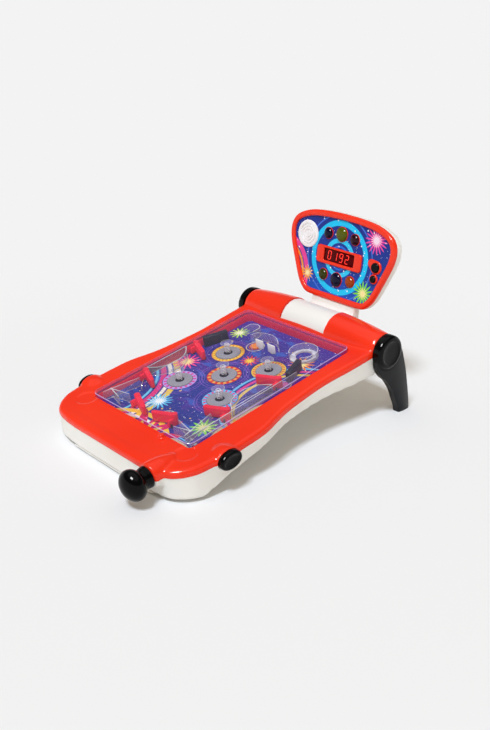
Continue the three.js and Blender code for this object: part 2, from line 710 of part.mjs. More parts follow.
// Rear tube, turned about X: full in the middle and slimmer at the ends.
const tubeRadiusAt = (x) => {
  return TUBE_RADIUS - TUBE_TAPER * Math.pow(Math.abs(x) / TUBE_END_X, TUBE_TAPER_POWER);
};

function tube(inset, endX, place) {
  const along = Array.from({ length: TUBE_RINGS + 1 }, (_, i) => endX * ((2 * i) / TUBE_RINGS - 1));
  const surface = along.map((x) => [tubeRadiusAt(x) - inset, x]);
  surface[0][0] -= TUBE_EDGE;
  surface[TUBE_RINGS][0] -= TUBE_EDGE;
  return turned([[0, -endX], ...surface, [0, endX]], "x", place, TUBE_STEPS);
}

function tubeHollow(place) {
  const hubRoom = rod(HUB_RADIUS + HUB_FIT, "x", place, [-HUB_HALF, HUB_HALF], TUBE_STEPS);
  return tube(SHELL_WALL, TUBE_END_X - SHELL_WALL, place).add(hubRoom);
}

// Base: walls up to the seam, arched floor, lower half of the tube and of the plunger housing
function archProfile(rise) {
  const under = (y, drop) => [y, deckLineZ(y) - drop + rise];
  const [pull, top, bend, last] = ARCH_AHEAD.map((ahead, i) => under(TUBE_Y - ahead, ARCH_DROP[i]));
  const shape = new THREE.Shape();
  shape.moveTo(-CUT_REACH, FLOOR_Z + rise);
  shape.lineTo(ARCH_START, FLOOR_Z + rise);
  shape.bezierCurveTo(...under(CASE_FRONT + ARCH_PULL_BEHIND, ARCH_PULL_DROP), ...pull, ...top);
  shape.quadraticCurveTo(...bend, ...last);
  shape.lineTo(TUBE_Y, CUT_REACH);
  shape.lineTo(-CUT_REACH, CUT_REACH);
  return shape.getPoints(SMALL_STEPS).map((point) => [point.x, point.y]);
}

const WIDE = [-CUT_REACH, CUT_REACH];
const belowSeam = () => inLevel(box(WIDE, WIDE, [-CUT_REACH, SEAM_H - SEAM_HALF_GAP]));
const rodHole = (low, high) => rod(ROD_RADIUS + SHAFT_FIT, "y", PLUNGER, [low, high]);

function baseShell() {
  const tubePlace = [TUBE_Y, TUBE_Z];
  const outline = caseOutline((y) => y);
  const slab = prism(outline, "z", [0, CUT_REACH]).intersect(prism(archProfile(0), "x", WIDE));
  const housing = inLevel(rod(HOUSING_RADIUS, "y", PLUNGER, [HOUSING_FRONT, HOUSING_BACK], ROUND_STEPS));
  const hoods = [-1, 1].map((side) => inLevel(buttonHood(side)));
  const outside = join(slab, tube(0, TUBE_END_X, tubePlace), housing, ...hoods);
  const inner = prism(insetLoop(outline, BASE_WALL), "z", [0, CUT_REACH]);
  const room = inner.intersect(prism(archProfile(BASE_WALL), "x", WIDE));
  const housingHollow = [HOUSING_FRONT + SHELL_WALL, HOUSING_BACK];
  const housingRoom = inLevel(rod(HOUSING_RADIUS - BASE_WALL, "y", PLUNGER, housingHollow, ROUND_STEPS));
  const shell = cut(outside, room, tubeHollow(tubePlace), housingRoom).intersect(belowSeam());
  const holes = [
    inLevel(rodHole(HOUSING_FRONT - SHELL_WALL, HOUSING_BACK)),
    rod(STUD_RADIUS + FIT, "x", tubePlace, [-TUBE_END_X - FIT, TUBE_END_X + FIT], ROUND_STEPS),
    box([-BAY_HALF_X, BAY_HALF_X], [BAY_FRONT, BAY_BACK], [0, FLOOR_Z + BASE_WALL + FIT]),
    rod(SCREW_RADIUS + FIT, "z", [SCREW_X, (BAY_FRONT + BAY_BACK) / 2], [0, FLOOR_Z + BASE_WALL + FIT]),
    ...[-1, 1].map((side) =>
      rod(FOOT_STEM + FIT, "z", [side * FOOT_X, FOOT_Y], [0, FLOOR_Z + BASE_WALL + FIT])
    ),
    ...[-1, 1].map((side) => inLevel(buttonBore(side))),
  ];
  return join(cut(shell, ...holes), ...tubeWebs(), ...cellRibs());
}

// Webs beside the hub with the studs that the hub turns on
function tubeWebs() {
  const place = [TUBE_Y, TUBE_Z];
  const lowerHalf = tube(SHELL_WALL / 2, TUBE_END_X - SHELL_WALL, place).intersect(belowSeam());
  return [-1, 1].map((side) => {
    const inner = side * (HUB_HALF + HUB_FIT);
    const outer = inner + side * SHELL_WALL;
    const span = between(inner, outer);
    const collar = rod(STUD_RADIUS + WEB_MARGIN, "x", place, span, ROUND_STEPS);
    const stud = rod(STUD_RADIUS, "x", place, between(side * (HUB_HALF - STUD_LENGTH), outer), ROUND_STEPS);
    return join(lowerHalf.intersect(box(span, WIDE, WIDE)), collar, stud);
  });
}

function cellRibs() {
  const floor = FLOOR_Z + BASE_WALL / 2;
  const height = [floor, floor + CELL_RIB_HEIGHT];
  const fronts = [BAY_FRONT - CELL_RIB - FIT, BAY_BACK + FIT];
  return fronts.map((y) => box([-BAY_HALF_X, BAY_HALF_X], [y, y + CELL_RIB], height));
}

// Top shell: deck with a rounded edge, upper half of the tube, plunger housing, well and rebate
const wellX = [-WELL_HALF, WELL_HALF];
const wellY = [WELL_FRONT, WELL_BACK];
const widened = ([low, high], grow) => [low - grow, high + grow];
const grownBox = (x, y, corner, grow) => roundedBox(widened(x, grow), widened(y, grow), corner + grow);
const wellLoop = (grow) => grownBox(wellX, wellY, WELL_CORNER, grow);
const coverLoop = (grow) => wellLoop(COVER_LAP + grow);

// Oval of the flipper buttons, the bore that each slides in and the hood of the case round it
function ovalLoop(grow) {
  const flatness = (BUTTON_HALF_H + grow) / (BUTTON_HALF_Y + grow);
  const round = circle([0, 0], BUTTON_HALF_Y + grow, ROUND_STEPS);
  return round.map(([y, h]) => [BUTTON_Y + y, BUTTON_H + h * flatness]);
}

function buttonBore(side) {
  const reach = between(side * (BUTTON_IN_X - STROKE - BORE_BACK_GAP), side * (BUTTON_OUT_X + FIT));
  return prism(ovalLoop(BUTTON_FIT), "x", reach);
}

function buttonHood(side) {
  const outer = WELL_HALF + HOOD_BEYOND;
  const span = between(side * (outer - HOOD_LENGTH), side * (outer + HOOD_EDGE_ALONG));
  const edge = { inward: HOOD_EDGE_IN, along: HOOD_EDGE_ALONG, steps: 1 };
  const trim = box(between(0, side * outer), WIDE, WIDE);
  return prism(ovalLoop(BUTTON_FIT + HOOD_WALL), "x", span, edge).intersect(trim);
}

function plungerRidge(radius, front) {
  const barrel = rod(radius, "y", PLUNGER, [front, HOUSING_BACK], ROUND_STEPS);
  const ball = new THREE.SphereGeometry(radius, ROUND_STEPS, SMALL_STEPS);
  ball.rotateX(QUARTER).translate(PLUNGER_X, HOUSING_BACK, PLUNGER_H);
  return barrel.add(solidOf(ball));
}

function pinSlots() {
  const width = PIN_RADIUS + FIT;
  const slot = (pivot, side) => {
    const start = pivot[0] + side * PIN_SIDE;
    const end = start - side * STROKE;
    const [low, high] = between(start, end);
    const y = pivot[1] - PIN_REACH;
    return box([low - width, high + width], [y - width, y + width], [BAR_TOP_H, BLADE_BOTTOM_H]);
  };
  return [...FLIPPERS_LEFT.map((pivot) => slot(pivot, -1)), ...FLIPPERS_RIGHT.map((pivot) => slot(pivot, 1))];
}

function topShell() {
  const outline = caseOutline((y) => deckY(y, SEAM_H));
  const bottom = SEAM_H - 2 * SHELL_EDGE_DOWN;
  const edge = { inward: SHELL_EDGE_IN, along: SHELL_EDGE_DOWN };
  const body = prism(outline, "z", [bottom, SHELL_TOP_H], edge);
  const ridge = plungerRidge(HOUSING_RADIUS, HOUSING_FRONT);
  const outside = join(body, tube(0, TUBE_END_X, TUBE_ON_DECK), ridge, buttonHood(-1), buttonHood(1));
  const innerEdge = { inward: SHELL_EDGE_IN - SHELL_WALL, along: SHELL_EDGE_DOWN - SHELL_WALL };
  const innerTop = SHELL_TOP_H - SHELL_WALL;
  const room = prism(insetLoop(outline, SHELL_WALL), "z", [bottom, innerTop], innerEdge);
  const ridgeHollow = plungerRidge(HOUSING_RADIUS - SHELL_WALL, HOUSING_FRONT + SHELL_WALL);
  const hollows = [room, tubeHollow(TUBE_ON_DECK), ridgeHollow];
  const above = box(WIDE, WIDE, [SEAM_H + SEAM_HALF_GAP, CUT_REACH]);
  const shell = cut(outside, ...hollows).intersect(above);
  const wall = prism(wellLoop(WELL_WALL), "z", [WELL_BOTTOM_H, LEDGE_H]);
  const shoulder = prism(coverLoop(SHOULDER_WALL), "z", [SHOULDER_H, SHELL_TOP_H]);
  const window = join(
    prism(wellLoop(0), "z", [LIP_TOP_H, CUT_REACH]),
    prism(wellLoop(-LIP_WIDTH), "z", [-CUT_REACH, CUT_REACH]),
    prism(coverLoop(FIT), "z", [LEDGE_H, CUT_REACH])
  );
  const peg = rod(PEG_RADIUS, "z", PEG, [SHELL_TOP_H - SHELL_WALL / 2, SHELL_TOP_H + PEG_RISE]);
  return cut(join(shell, wall, shoulder, peg), window, ...hubSlot(), ...pinSlots(), ...shellHoles());
}

function hubSlot() {
  const span = [-HUB_HALF - HUB_FIT, HUB_HALF + HUB_FIT];
  return [
    rod(HUB_RADIUS + HUB_FIT, "x", TUBE_ON_DECK, span, TUBE_STEPS),
    box(span, [WELL_BACK + COVER_LAP + SHOULDER_WALL, CUT_REACH], [SHELL_TOP_H, CUT_REACH]),
    box(span, [TUBE_DECK_Y, CUT_REACH], [SEAM_H, CUT_REACH]),
  ];
}

function shellHoles() {
  const ends = [-TUBE_END_X - FIT, TUBE_END_X + FIT];
  return [
    rodHole(HOUSING_FRONT - SHELL_WALL, HOUSING_BACK),
    rod(ROD_HOLE, "y", PLUNGER, [HOUSING_BACK, WELL_FRONT + WELL_CORNER]),
    rod(STUD_RADIUS + FIT, "x", TUBE_ON_DECK, ends, ROUND_STEPS),
    buttonBore(-1),
    buttonBore(1),
  ];
}

// Play board with the bumper discs, the holes of the moving pieces and the posts of the circuit board
function playTray() {
  const plate = prism(wellLoop(-FIT), "z", [-BOARD_THICK, 0]);
  const discHeight = [-BOARD_THICK / 2, DISC_RISE];
  const discs = BUMPERS.map((place) => rod(DISC_RADIUS, "z", place, discHeight, ROUND_STEPS));
  const posts = [CIRCUIT_FRONT + POST_IN, CIRCUIT_BACK - POST_IN].flatMap((y) =>
    [-1, 1].map((side) => {
      const place = [FIELD_CENTRE_X + side * POST_HALF_X, y];
      return rod(POST_RADIUS, "z", place, [CIRCUIT_TOP_H + STAND, -BOARD_THICK / 2]);
    })
  );
  const through = [-BOARD_THICK - FIT, DISC_RISE + FIT];
  const shafts = [...FLIPPERS_LEFT, ...FLIPPERS_RIGHT].map((place) =>
    rod(SHAFT_RADIUS + SHAFT_FIT, "z", place, through)
  );
  const stems = BUMPERS.map((place) => rod(CAP_STEM + FIT, "z", place, through));
  const tangs = TARGET_X.map((x) =>
    box(
      [x - TANG_HALF_X - FIT, x + TANG_HALF_X + FIT],
      [TARGET_Y - TANG_SLOT_HALF_Y, TARGET_Y + TANG_SLOT_HALF_Y],
      through
    )
  );
  return cut(join(plate, ...discs, ...posts), ...shafts, ...stems, ...tangs, ...pinSlots());
}

function clearCover() {
  const edge = { inward: COVER_EDGE, along: COVER_EDGE };
  const low = LEDGE_H + STAND;
  const block = prism(coverLoop(0), "z", [low - COVER_EDGE, COVER_TOP_H], edge);
  const trim = box(WIDE, WIDE, [low, CUT_REACH]);
  const room = prism(coverLoop(-COVER_WALL), "z", [-CUT_REACH, COVER_TOP_H - COVER_WALL]);
  return cut(block.intersect(trim), room);
}

// Bumper pieces
class Helix extends THREE.Curve {
  constructor(place, radius, low, high, curls) {
    super();
    Object.assign(this, { place, radius, low, high, curls });
  }
  getPoint(t, target = new THREE.Vector3()) {
    const angle = t * this.curls * TURN;
    const x = this.place[0] + this.radius * Math.cos(angle);
    const y = this.place[1] + this.radius * Math.sin(angle);
    return target.set(x, y, this.low + (this.high - this.low) * t);
  }
}

const WIRE_SIDES = 5;
const CURL_STEPS = 8;

function bumperSpring(place) {
  const low = DISC_RISE + STAND + SPRING_WIRE;
  const path = new Helix(place, SPRING_RADIUS, low, SPRING_TOP_H, SPRING_CURLS);
  const wire = new THREE.Shape(
    circle([0, 0], SPRING_WIRE, WIRE_SIDES).map(([a, b]) => new THREE.Vector2(a, b))
  );
  const steps = SPRING_CURLS * CURL_STEPS;
  const geometry = new THREE.ExtrudeGeometry(wire, { steps, extrudePath: path, bevelEnabled: false });
  return { solid: solidOf(geometry), gap: selfGap(path, steps) };
}

// Least distance between the wire's surface on one curl and on the others, between points of the path
function selfGap(path, steps) {
  const points = path.getPoints(steps);
  let least = Infinity;
  points.forEach((a, i) => {
    points.slice(i + CURL_STEPS / 2).forEach((b) => {
      least = Math.min(least, a.distanceTo(b));
    });
  });
  return least - 2 * SPRING_WIRE;
}

function bumperCap(place) {
  const profile = [
    [0, -BOARD_THICK + STAND],
    [CAP_STEM, -BOARD_THICK + STAND],
    [CAP_STEM, CAP_FLARE_H],
    [CAP_RADIUS, CAP_RIM_H],
    [CAP_RADIUS, CAP_TOP_H],
    [CAP_RADIUS - CAP_RIM, CAP_TOP_H],
    [CAP_DIP_RADIUS, CAP_TOP_H - CAP_DIP],
    [0, CAP_TOP_H - CAP_DIP],
  ];
  return turned(profile, "z", place, SMALL_STEPS);
}

// Flippers: boss on a shaft, tapered blade, and an arm that the push bar's pin moves
function flipper([x, y], side) {
  const angle = side > 0 ? Math.PI + rad(BLADE_ANGLE) : -rad(BLADE_ANGLE);
  const bladeLoop = taperedBar(BLADE_WIDE, BLADE_TIP, BLADE_LENGTH, angle);
  const blade = prism(bladeLoop, "z", [BLADE_BOTTOM_H, BLADE_TOP_H]);
  const boss = rod(BOSS_RADIUS, "z", [0, 0], [STAND, BOSS_TOP_H], ROUND_STEPS);
  const shaft = rod(SHAFT_RADIUS, "z", [0, 0], [SHAFT_END_H, BLADE_BOTTOM_H]);
  const arm = box([-ARM_HALF, ARM_HALF], [-ARM_LENGTH, 0], [ARM_BOTTOM_H, ARM_TOP_H]);
  return shifted(join(blade, boss, shaft, arm), x, y, 0);
}

function pushBar(pivots, side) {
  const level = [BAR_BOTTOM_H, BAR_TOP_H];
  const pins = pivots.map(([x, y]) => [x + side * PIN_SIDE, y - PIN_REACH]);
  const span = (a, b) => [Math.min(a, b) - BAR_HALF, Math.max(a, b) + BAR_HALF];
  const spine = box(span(pins[1][0], pins[1][0]), span(pins[0][1], pins[2][1]), level);
  const branch = box(span(pins[0][0], pins[1][0]), span(pins[0][1], pins[0][1]), level);
  const outEdge = side * (BAR_POST_OUT - BAR_HALF);
  const arm = box(span(pins[1][0], outEdge), span(BUTTON_Y, BUTTON_Y), level);
  const bridge = box(span(pins[1][0], pins[1][0]), span(BUTTON_Y, pins[0][1]), level);
  const postX = between(side * BAR_POST_IN, side * BAR_POST_OUT);
  const postY = [BUTTON_Y - BAR_POST_HALF, BUTTON_Y + BAR_POST_HALF];
  const post = box(postX, postY, [BAR_BOTTOM_H, BAR_POST_TOP_H]);
  const pegs = pins.map((place) => rod(PIN_RADIUS, "z", place, [BAR_BOTTOM_H, PIN_TOP_H]));
  return join(spine, branch, arm, bridge, post, ...pegs);
}

function buttonCap(side) {
  const loop = ovalLoop(0);
  const ends = between(side * BUTTON_IN_X, side * BUTTON_OUT_X);
  const cap = prism(loop, "x", ends, { inward: BUTTON_EDGE, along: BUTTON_EDGE });
  const dishLoop = loop.map(([y, z]) => [
    BUTTON_Y + (y - BUTTON_Y) * BUTTON_DISH_SHARE,
    BUTTON_H + (z - BUTTON_H) * BUTTON_DISH_SHARE,
  ]);
  const dishEnds = between(side * (BUTTON_OUT_X - BUTTON_DISH), side * (BUTTON_OUT_X + BUTTON_DISH));
  const stemEnds = between(side * (BAR_POST_OUT + FIT), side * (BUTTON_IN_X + BUTTON_EDGE));
  const stem = rod(BUTTON_STEM, "x", [BUTTON_Y, BUTTON_H], stemEnds, ROUND_STEPS);
  return cut(cap.add(stem), prism(dishLoop, "x", dishEnds));
}

function returnSpring(side) {
  const near = side * (WELL_HALF + WELL_WALL + FIT);
  const far = side * (BAR_POST_IN - FIT);
  return sleeve(RETURN_OUTER, RETURN_INNER, "x", [BUTTON_Y, BUTTON_H], between(near, far));
}

// Plunger pieces
function plungerKnob() {
  const front = KNOB_Y - KNOB_HALF;
  const joinAngle = Math.asin(NECK_RADIUS / KNOB_RADIUS);
  const round = Array.from({ length: SMALL_STEPS + 1 }, (_, i) => {
    const angle = ((Math.PI - joinAngle) * i) / SMALL_STEPS;
    return [KNOB_RADIUS * Math.sin(angle), KNOB_Y - KNOB_HALF * Math.cos(angle)];
  });
  round[0] = [0, front];
  const profile = [
    ...round,
    [NECK_RADIUS, NECK_Y],
    [COLLAR_RADIUS, COLLAR_FRONT],
    [COLLAR_RADIUS, COLLAR_BACK],
    [ROD_RADIUS + FIT, COLLAR_BACK],
    [ROD_RADIUS + FIT, ROD_END - FIT],
    [0, ROD_END - FIT],
  ];
  return turned(profile, "y", PLUNGER, KNOB_STEPS);
}

function plungerRod() {
  const profile = [
    [0, ROD_END],
    [ROD_RADIUS, ROD_END],
    [ROD_RADIUS, CLIP_FRONT],
    [CLIP_RADIUS, CLIP_FRONT],
    [CLIP_RADIUS, CLIP_BACK],
    [ROD_RADIUS, CLIP_BACK],
    [ROD_RADIUS, TIP_Y - TIP_LENGTH],
    [TIP_RADIUS, TIP_Y - TIP_LENGTH],
    [TIP_RADIUS, TIP_Y],
    [0, TIP_Y],
  ];
  return turned(profile, "y", PLUNGER, SMALL_STEPS);
}

function plungerSpring() {
  const ends = [HOUSING_FRONT + SHELL_WALL + FIT, CLIP_FRONT - FIT];
  return sleeve(PULL_SPRING_OUTER, PULL_SPRING_INNER, "y", PLUNGER, ends);
}

function steelBall() {
  const ball = new THREE.SphereGeometry(BALL_RADIUS, SMALL_STEPS, SMALL_STEPS / 2);
  ball.rotateX(QUARTER).translate(PLUNGER_X, TIP_Y + FIT + BALL_RADIUS, BALL_RADIUS + STAND);
  return solidOf(ball);
}

// Board furniture
const guideWall = (line, top = GUIDE_TOP_H) => prism(ribbon(line, GUIDE_HALF), "z", [STAND, top]);

function backLine(centre, line) {
  return line.map(([x, ahead]) => [FIELD_CENTRE_X + centre + x, WELL_BACK - ahead]);
}

function sideGuide(side) {
  const low = MIDDLE_FLIPPER_Y + SIDE_GUIDE_BEHIND;
  const length = HIGH_FLIPPER_Y - SIDE_GUIDE_AHEAD - low;
  const points = SIDE_GUIDE_IN.map((inward, i) => {
    return [fieldX(side, inward), low + SIDE_GUIDE_SHARES[i] * length];
  });
  const back = [
    [points[0][0], points[0][1] + GUIDE_HALF],
    [points.at(-1)[0], points.at(-1)[1] - GUIDE_HALF],
  ];
  return guideWall(smooth(points, SMALL_STEPS)).add(guideWall(back));
}

function fanGuide(side) {
  const post = [fieldX(side, FAN_POST_IN), WELL_FRONT + FAN_POST_BACK];
  const toWalls = FAN_END_IN.map((inward, i) => [fieldX(side, inward), WELL_FRONT + FAN_END_BACK[i]]);
  const toFlipper = FAN_OUT_OF_FLIPPER.map((out, i) => {
    return [FIELD_CENTRE_X + side * (FLIPPER_SIDE + out), LOW_FLIPPER_Y - FAN_AHEAD_OF_FLIPPER[i]];
  });
  const ribs = [...toFlipper, ...toWalls].map((end) => guideWall([post, end]));
  return join(rod(FAN_POST_RADIUS, "z", post, [STAND, GUIDE_TOP_H]), ...ribs);
}

function vortexCup() {
  const profile = [
    [CUP_INNER_RADIUS - CUP_WALL, STAND],
    [CUP_RADIUS, STAND],
    [CUP_RADIUS, CUP_TOP_H],
    [CUP_RADIUS - CUP_WALL, CUP_TOP_H],
    [CUP_RADIUS - CUP_WALL, CUP_FLOOR],
    [CUP_INNER_RADIUS, CUP_FLOOR],
    [CUP_INNER_RADIUS, CUP_INNER_TOP_H],
    [CUP_INNER_RADIUS - CUP_WALL, CUP_INNER_TOP_H],
    [CUP_INNER_RADIUS - CUP_WALL, STAND],
  ];
  const doorX = [CUP[0] - CUP_DOOR_HALF, CUP[0] + CUP_DOOR_HALF];
  const door = box(doorX, [CUP[1] - 2 * CUP_RADIUS, CUP[1]], [CUP_FLOOR, CUP_TOP_H + FIT]);
  return cut(turned(profile, "z", CUP, ROUND_STEPS), door);
}

function deflector(side, inward) {
  const line = inward.map((distance, i) => [fieldX(side, distance), WELL_BACK - DEFLECTOR_AHEAD[i]]);
  return prism(ribbon(line, DEFLECTOR_HALF), "z", [STAND, DEFLECTOR_TOP_H]);
}

function target(x) {
  const y = [TARGET_Y - TARGET_HALF_Y, TARGET_Y + TARGET_HALF_Y];
  const flap = box([x - TARGET_HALF_X, x + TARGET_HALF_X], y, [TARGET_BOTTOM_H, TARGET_TOP_H]);
  const tang = box([x - TANG_HALF_X, x + TANG_HALF_X], y, [TANG_BOTTOM_H, TARGET_TOP_H / 2]);
  return flap.add(tang);
}

function circuitBoard() {
  const spanX = (half) => [FIELD_CENTRE_X - half, FIELD_CENTRE_X + half];
  const level = [CIRCUIT_BOTTOM_H, CIRCUIT_TOP_H];
  const plate = box(spanX(CIRCUIT_HALF_X), [CIRCUIT_FRONT, CIRCUIT_BACK], level);
  const middle = (CIRCUIT_FRONT + CIRCUIT_BACK) / 2;
  const chipY = [middle - CHIP_HALF_Y, middle + CHIP_HALF_Y];
  return plate.add(box(spanX(CHIP_HALF_X), chipY, [CIRCUIT_BOTTOM_H - CHIP_THICK, CIRCUIT_TOP_H]));
}

// Battery door under the floor, its screw, the cells and the front feet
function batteryDoor() {
  const x = [-BAY_HALF_X - DOOR_LAP, BAY_HALF_X + DOOR_TAB];
  const y = [BAY_FRONT - DOOR_LAP, BAY_BACK + DOOR_LAP];
  const top = FLOOR_Z - STAND;
  const plate = prism(roundedBox(x, y, DOOR_LAP), "z", [top - DOOR_THICK, top]);
  const middle = (BAY_FRONT + BAY_BACK) / 2;
  const plug = box(
    [-BAY_HALF_X + FIT, BAY_HALF_X - FIT],
    [BAY_FRONT + FIT, BAY_BACK - FIT],
    [top - DOOR_THICK / 2, FLOOR_Z + BASE_WALL / 2]
  );
  const hole = rod(SCREW_RADIUS + FIT, "z", [SCREW_X, middle], [0, FLOOR_Z]);
  return cut(plate.add(plug), hole);
}

function doorScrew() {
  const low = FLOOR_Z - STAND - DOOR_THICK - STAND;
  const profile = [
    [0, low - SCREW_HEAD_THICK],
    [SCREW_HEAD, low - SCREW_HEAD_THICK],
    [SCREW_HEAD, low],
    [SCREW_RADIUS, low],
    [SCREW_RADIUS, FLOOR_Z + 2 * BASE_WALL],
    [0, FLOOR_Z + 2 * BASE_WALL],
  ];
  return turned(profile, "z", [SCREW_X, (BAY_FRONT + BAY_BACK) / 2], SMALL_STEPS);
}

function cell(index) {
  const middle = (index - (CELL_COUNT + 1) / 2) * CELL_PITCH;
  const profile = [
    [0, middle - CELL_LENGTH / 2],
    [CELL_RADIUS, middle - CELL_LENGTH / 2],
    [CELL_RADIUS, middle + CELL_LENGTH / 2 - CELL_TIP],
    [CELL_TIP_RADIUS, middle + CELL_LENGTH / 2 - CELL_TIP],
    [CELL_TIP_RADIUS, middle + CELL_LENGTH / 2],
    [0, middle + CELL_LENGTH / 2],
  ];
  const z = FLOOR_Z + BASE_WALL / 2 + STAND + CELL_RADIUS;
  return turned(profile, "x", [(BAY_FRONT + BAY_BACK) / 2, z], SMALL_STEPS);
}

function foot(side) {
  const profile = [
    [0, 0],
    [FOOT_RADIUS, 0],
    [FOOT_RADIUS, FLOOR_Z - STAND],
    [FOOT_STEM, FLOOR_Z - STAND],
    [FOOT_STEM, FLOOR_Z - STAND + FOOT_STEM_LENGTH],
    [0, FLOOR_Z - STAND + FOOT_STEM_LENGTH],
  ];
  return turned(profile, "z", [side * FOOT_X, FOOT_Y], ROUND_STEPS);
}

// Legs: dished drum on the end of the tube, curved leg with a crest down its outer face
const legPoint = (behind, heightShare) => [TUBE_Y + behind, heightShare * TUBE_Z];

function leg(side) {
  const drum = [
    [0, LEG_STUD_IN_X],
    [STUD_RADIUS, LEG_STUD_IN_X],
    [STUD_RADIUS, DRUM_IN_X],
    [DRUM_RADIUS, DRUM_IN_X],
    [DRUM_RADIUS, DRUM_OUT_X - DRUM_EDGE],
    [DRUM_RADIUS - DRUM_EDGE / 3, DRUM_OUT_X - DRUM_EDGE / 3],
    [DRUM_RADIUS - DRUM_EDGE, DRUM_OUT_X],
    [DRUM_DISH_RADIUS + DRUM_DISH, DRUM_OUT_X],
    [DRUM_DISH_RADIUS, DRUM_OUT_X - DRUM_DISH],
    [0, DRUM_OUT_X - DRUM_DISH],
  ];
  const place = [TUBE_Y, TUBE_Z];
  const facing = side > 0 ? drum : drum.map(([radius, x]) => [radius, -x]).reverse();
  const lineOf = (behind, shares) => smooth(behind.map((y, i) => legPoint(y, shares[i])), SMALL_STEPS);
  const front = lineOf(LEG_FRONT_BEHIND, LEG_FRONT_SHARES);
  const rear = lineOf(LEG_REAR_BEHIND, LEG_REAR_SHARES);
  const span = between(side * LEG_IN_X, side * LEG_CREST_X);
  const limb = prism([...front, ...rear], "x", span).intersect(crest(side));
  return turned(facing, "x", place, KNOB_STEPS).add(limb);
}

function crest(side) {
  const low = legPoint(LEG_CREST_LOW_BEHIND, 0);
  const high = legPoint(LEG_CREST_HIGH_BEHIND, LEG_CREST_HIGH_SHARE);
  const along = [high[0] - low[0], high[1] - low[1]];
  const length = Math.hypot(...along);
  const section = [
    [-LEG_SPREAD, 0],
    [LEG_SPREAD, 0],
    [LEG_SPREAD, side * LEG_SIDE_X],
    [0, side * LEG_CREST_X],
    [-LEG_SPREAD, side * LEG_SIDE_X],
  ];
  const sideways = new THREE.Vector3(0, along[1] / length, -along[0] / length);
  const outward = new THREE.Vector3(1, 0, 0);
  const up = new THREE.Vector3(0, along[0] / length, along[1] / length);
  const turn = new THREE.Matrix4().makeBasis(sideways, outward, up.negate());
  const place = new THREE.Matrix4().makeTranslation(0, ...low);
  return moved(prism(section, "z", WIDE), place.multiply(turn));
}

// Score head
function headOutline() {
  const side = smooth(HEAD_SIDE, HEAD_STEPS);
  return [...side, [0, HEAD_CROWN_Z], ...mirroredX(side, -1).reverse()];
}

const acrossY = (loop, range, edge = null) => prism(loop, "y", range, edge);
const pinAt = (radius, place, range, steps = ROUND_STEPS) => rod(radius, "y", place, range, steps);
const DOMES = [...SMALL_DOMES.map((at) => [at, SMALL_DOME]), ...LARGE_DOMES.map((at) => [at, LARGE_DOME])];
const frameX = [-FRAME_HALF_X, FRAME_HALF_X];
const frameLoop = (grow) => grownBox(frameX, [FRAME_LOW_Z, FRAME_HIGH_Z], FRAME_CORNER, grow);
const windowLoop = (grow) => grownBox([-WINDOW_HALF_X, WINDOW_HALF_X], WINDOW_Z, WINDOW_CORNER, grow);
const kidney = (grow, range) => {
  const along = [KIDNEY_FOOT.x - KIDNEY_TOP.x, KIDNEY_FOOT.z - KIDNEY_TOP.z];
  const angle = Math.atan2(along[1], along[0]);
  const loop = taperedBar(KIDNEY_TOP.radius + grow, KIDNEY_FOOT.radius + grow, Math.hypot(...along), angle);
  return acrossY(loop.map(([x, z]) => [x + KIDNEY_TOP.x, z + KIDNEY_TOP.z]), range);
};

function headCase() {
  const outline = insetLoop(headOutline(), CASE_INSET);
  const front = BACK_Y + STAND;
  const edge = { inward: CASE_EDGE, along: CASE_EDGE };
  const block = acrossY(outline, [front - CASE_EDGE, front + CASE_THICK], edge);
  const face = box(WIDE, [front, CUT_REACH], WIDE);
  const inner = insetLoop(outline, CASE_WALL);
  const innerEdge = { inward: CASE_WALL, along: CASE_WALL };
  const room = acrossY(inner, [-CUT_REACH, front + CASE_THICK - CASE_WALL], innerEdge);
  const neckTop = NECK_REAR.at(-1)[1];
  const chin = HEAD_SIDE[0][1] - STAND;
  const neckLoop = [...NECK_REAR, [front, neckTop], [front, chin], [NECK_FRONT[0][0], chin], ...NECK_FRONT];
  const neck = prism(neckLoop, "x", [-NECK_HALF_X, NECK_HALF_X]);
  const hubProfile = [
    [STUD_RADIUS + FIT, -HUB_HALF],
    [HUB_RADIUS, -HUB_HALF],
    [HUB_RADIUS, HUB_HALF],
    [STUD_RADIUS + FIT, HUB_HALF],
    [STUD_RADIUS + FIT, HUB_HALF - HUB_WALL],
    [HUB_RADIUS - HUB_WALL, HUB_HALF - HUB_WALL],
    [HUB_RADIUS - HUB_WALL, -HUB_HALF + HUB_WALL],
    [STUD_RADIUS + FIT, -HUB_HALF + HUB_WALL],
    [STUD_RADIUS + FIT, -HUB_HALF],
  ];
  const hub = turned(hubProfile, "x", [0, 0], TUBE_STEPS);
  return join(cut(block.intersect(face), room), neck, hub);
}

function headBezel() {
  const edge = { inward: BEZEL_EDGE, along: BEZEL_EDGE };
  const outline = headOutline();
  const block = acrossY(outline, [FACE_Y, BACK_Y + BEZEL_EDGE], edge).intersect(box(WIDE, [0, BACK_Y], WIDE));
  const floorY = FACE_Y + RECESS;
  const recess = acrossY(insetLoop(outline, RECESS_INSET), [0, floorY]);
  const frame = acrossY(frameLoop(0), [FRAME_RISE_Y, BACK_Y]);
  const rims = DOMES.map(([place, radius]) => pinAt(radius + FIT + DOME_RIM, place, [DOME_RIM_Y, BACK_Y]));
  const solid = join(cut(block, recess), frame, kidney(0, [KIDNEY_RISE_Y, BACK_Y]), ...rims);
  const through = [0, BACK_Y + FIT];
  const holes = [
    ...DOMES.map(([place, radius]) => pinAt(radius + FIT, place, through)),
    pinAt(SPEAKER_SPIGOT + FIT, SPEAKER, through),
    acrossY(windowLoop(FIT), through),
    pinAt(START.radius + FIT, [START.x, START.z], through),
    pinAt(MODE.radius + FIT, [MODE.x, MODE.z], through),
  ];
  return cut(solid, ...holes);
}

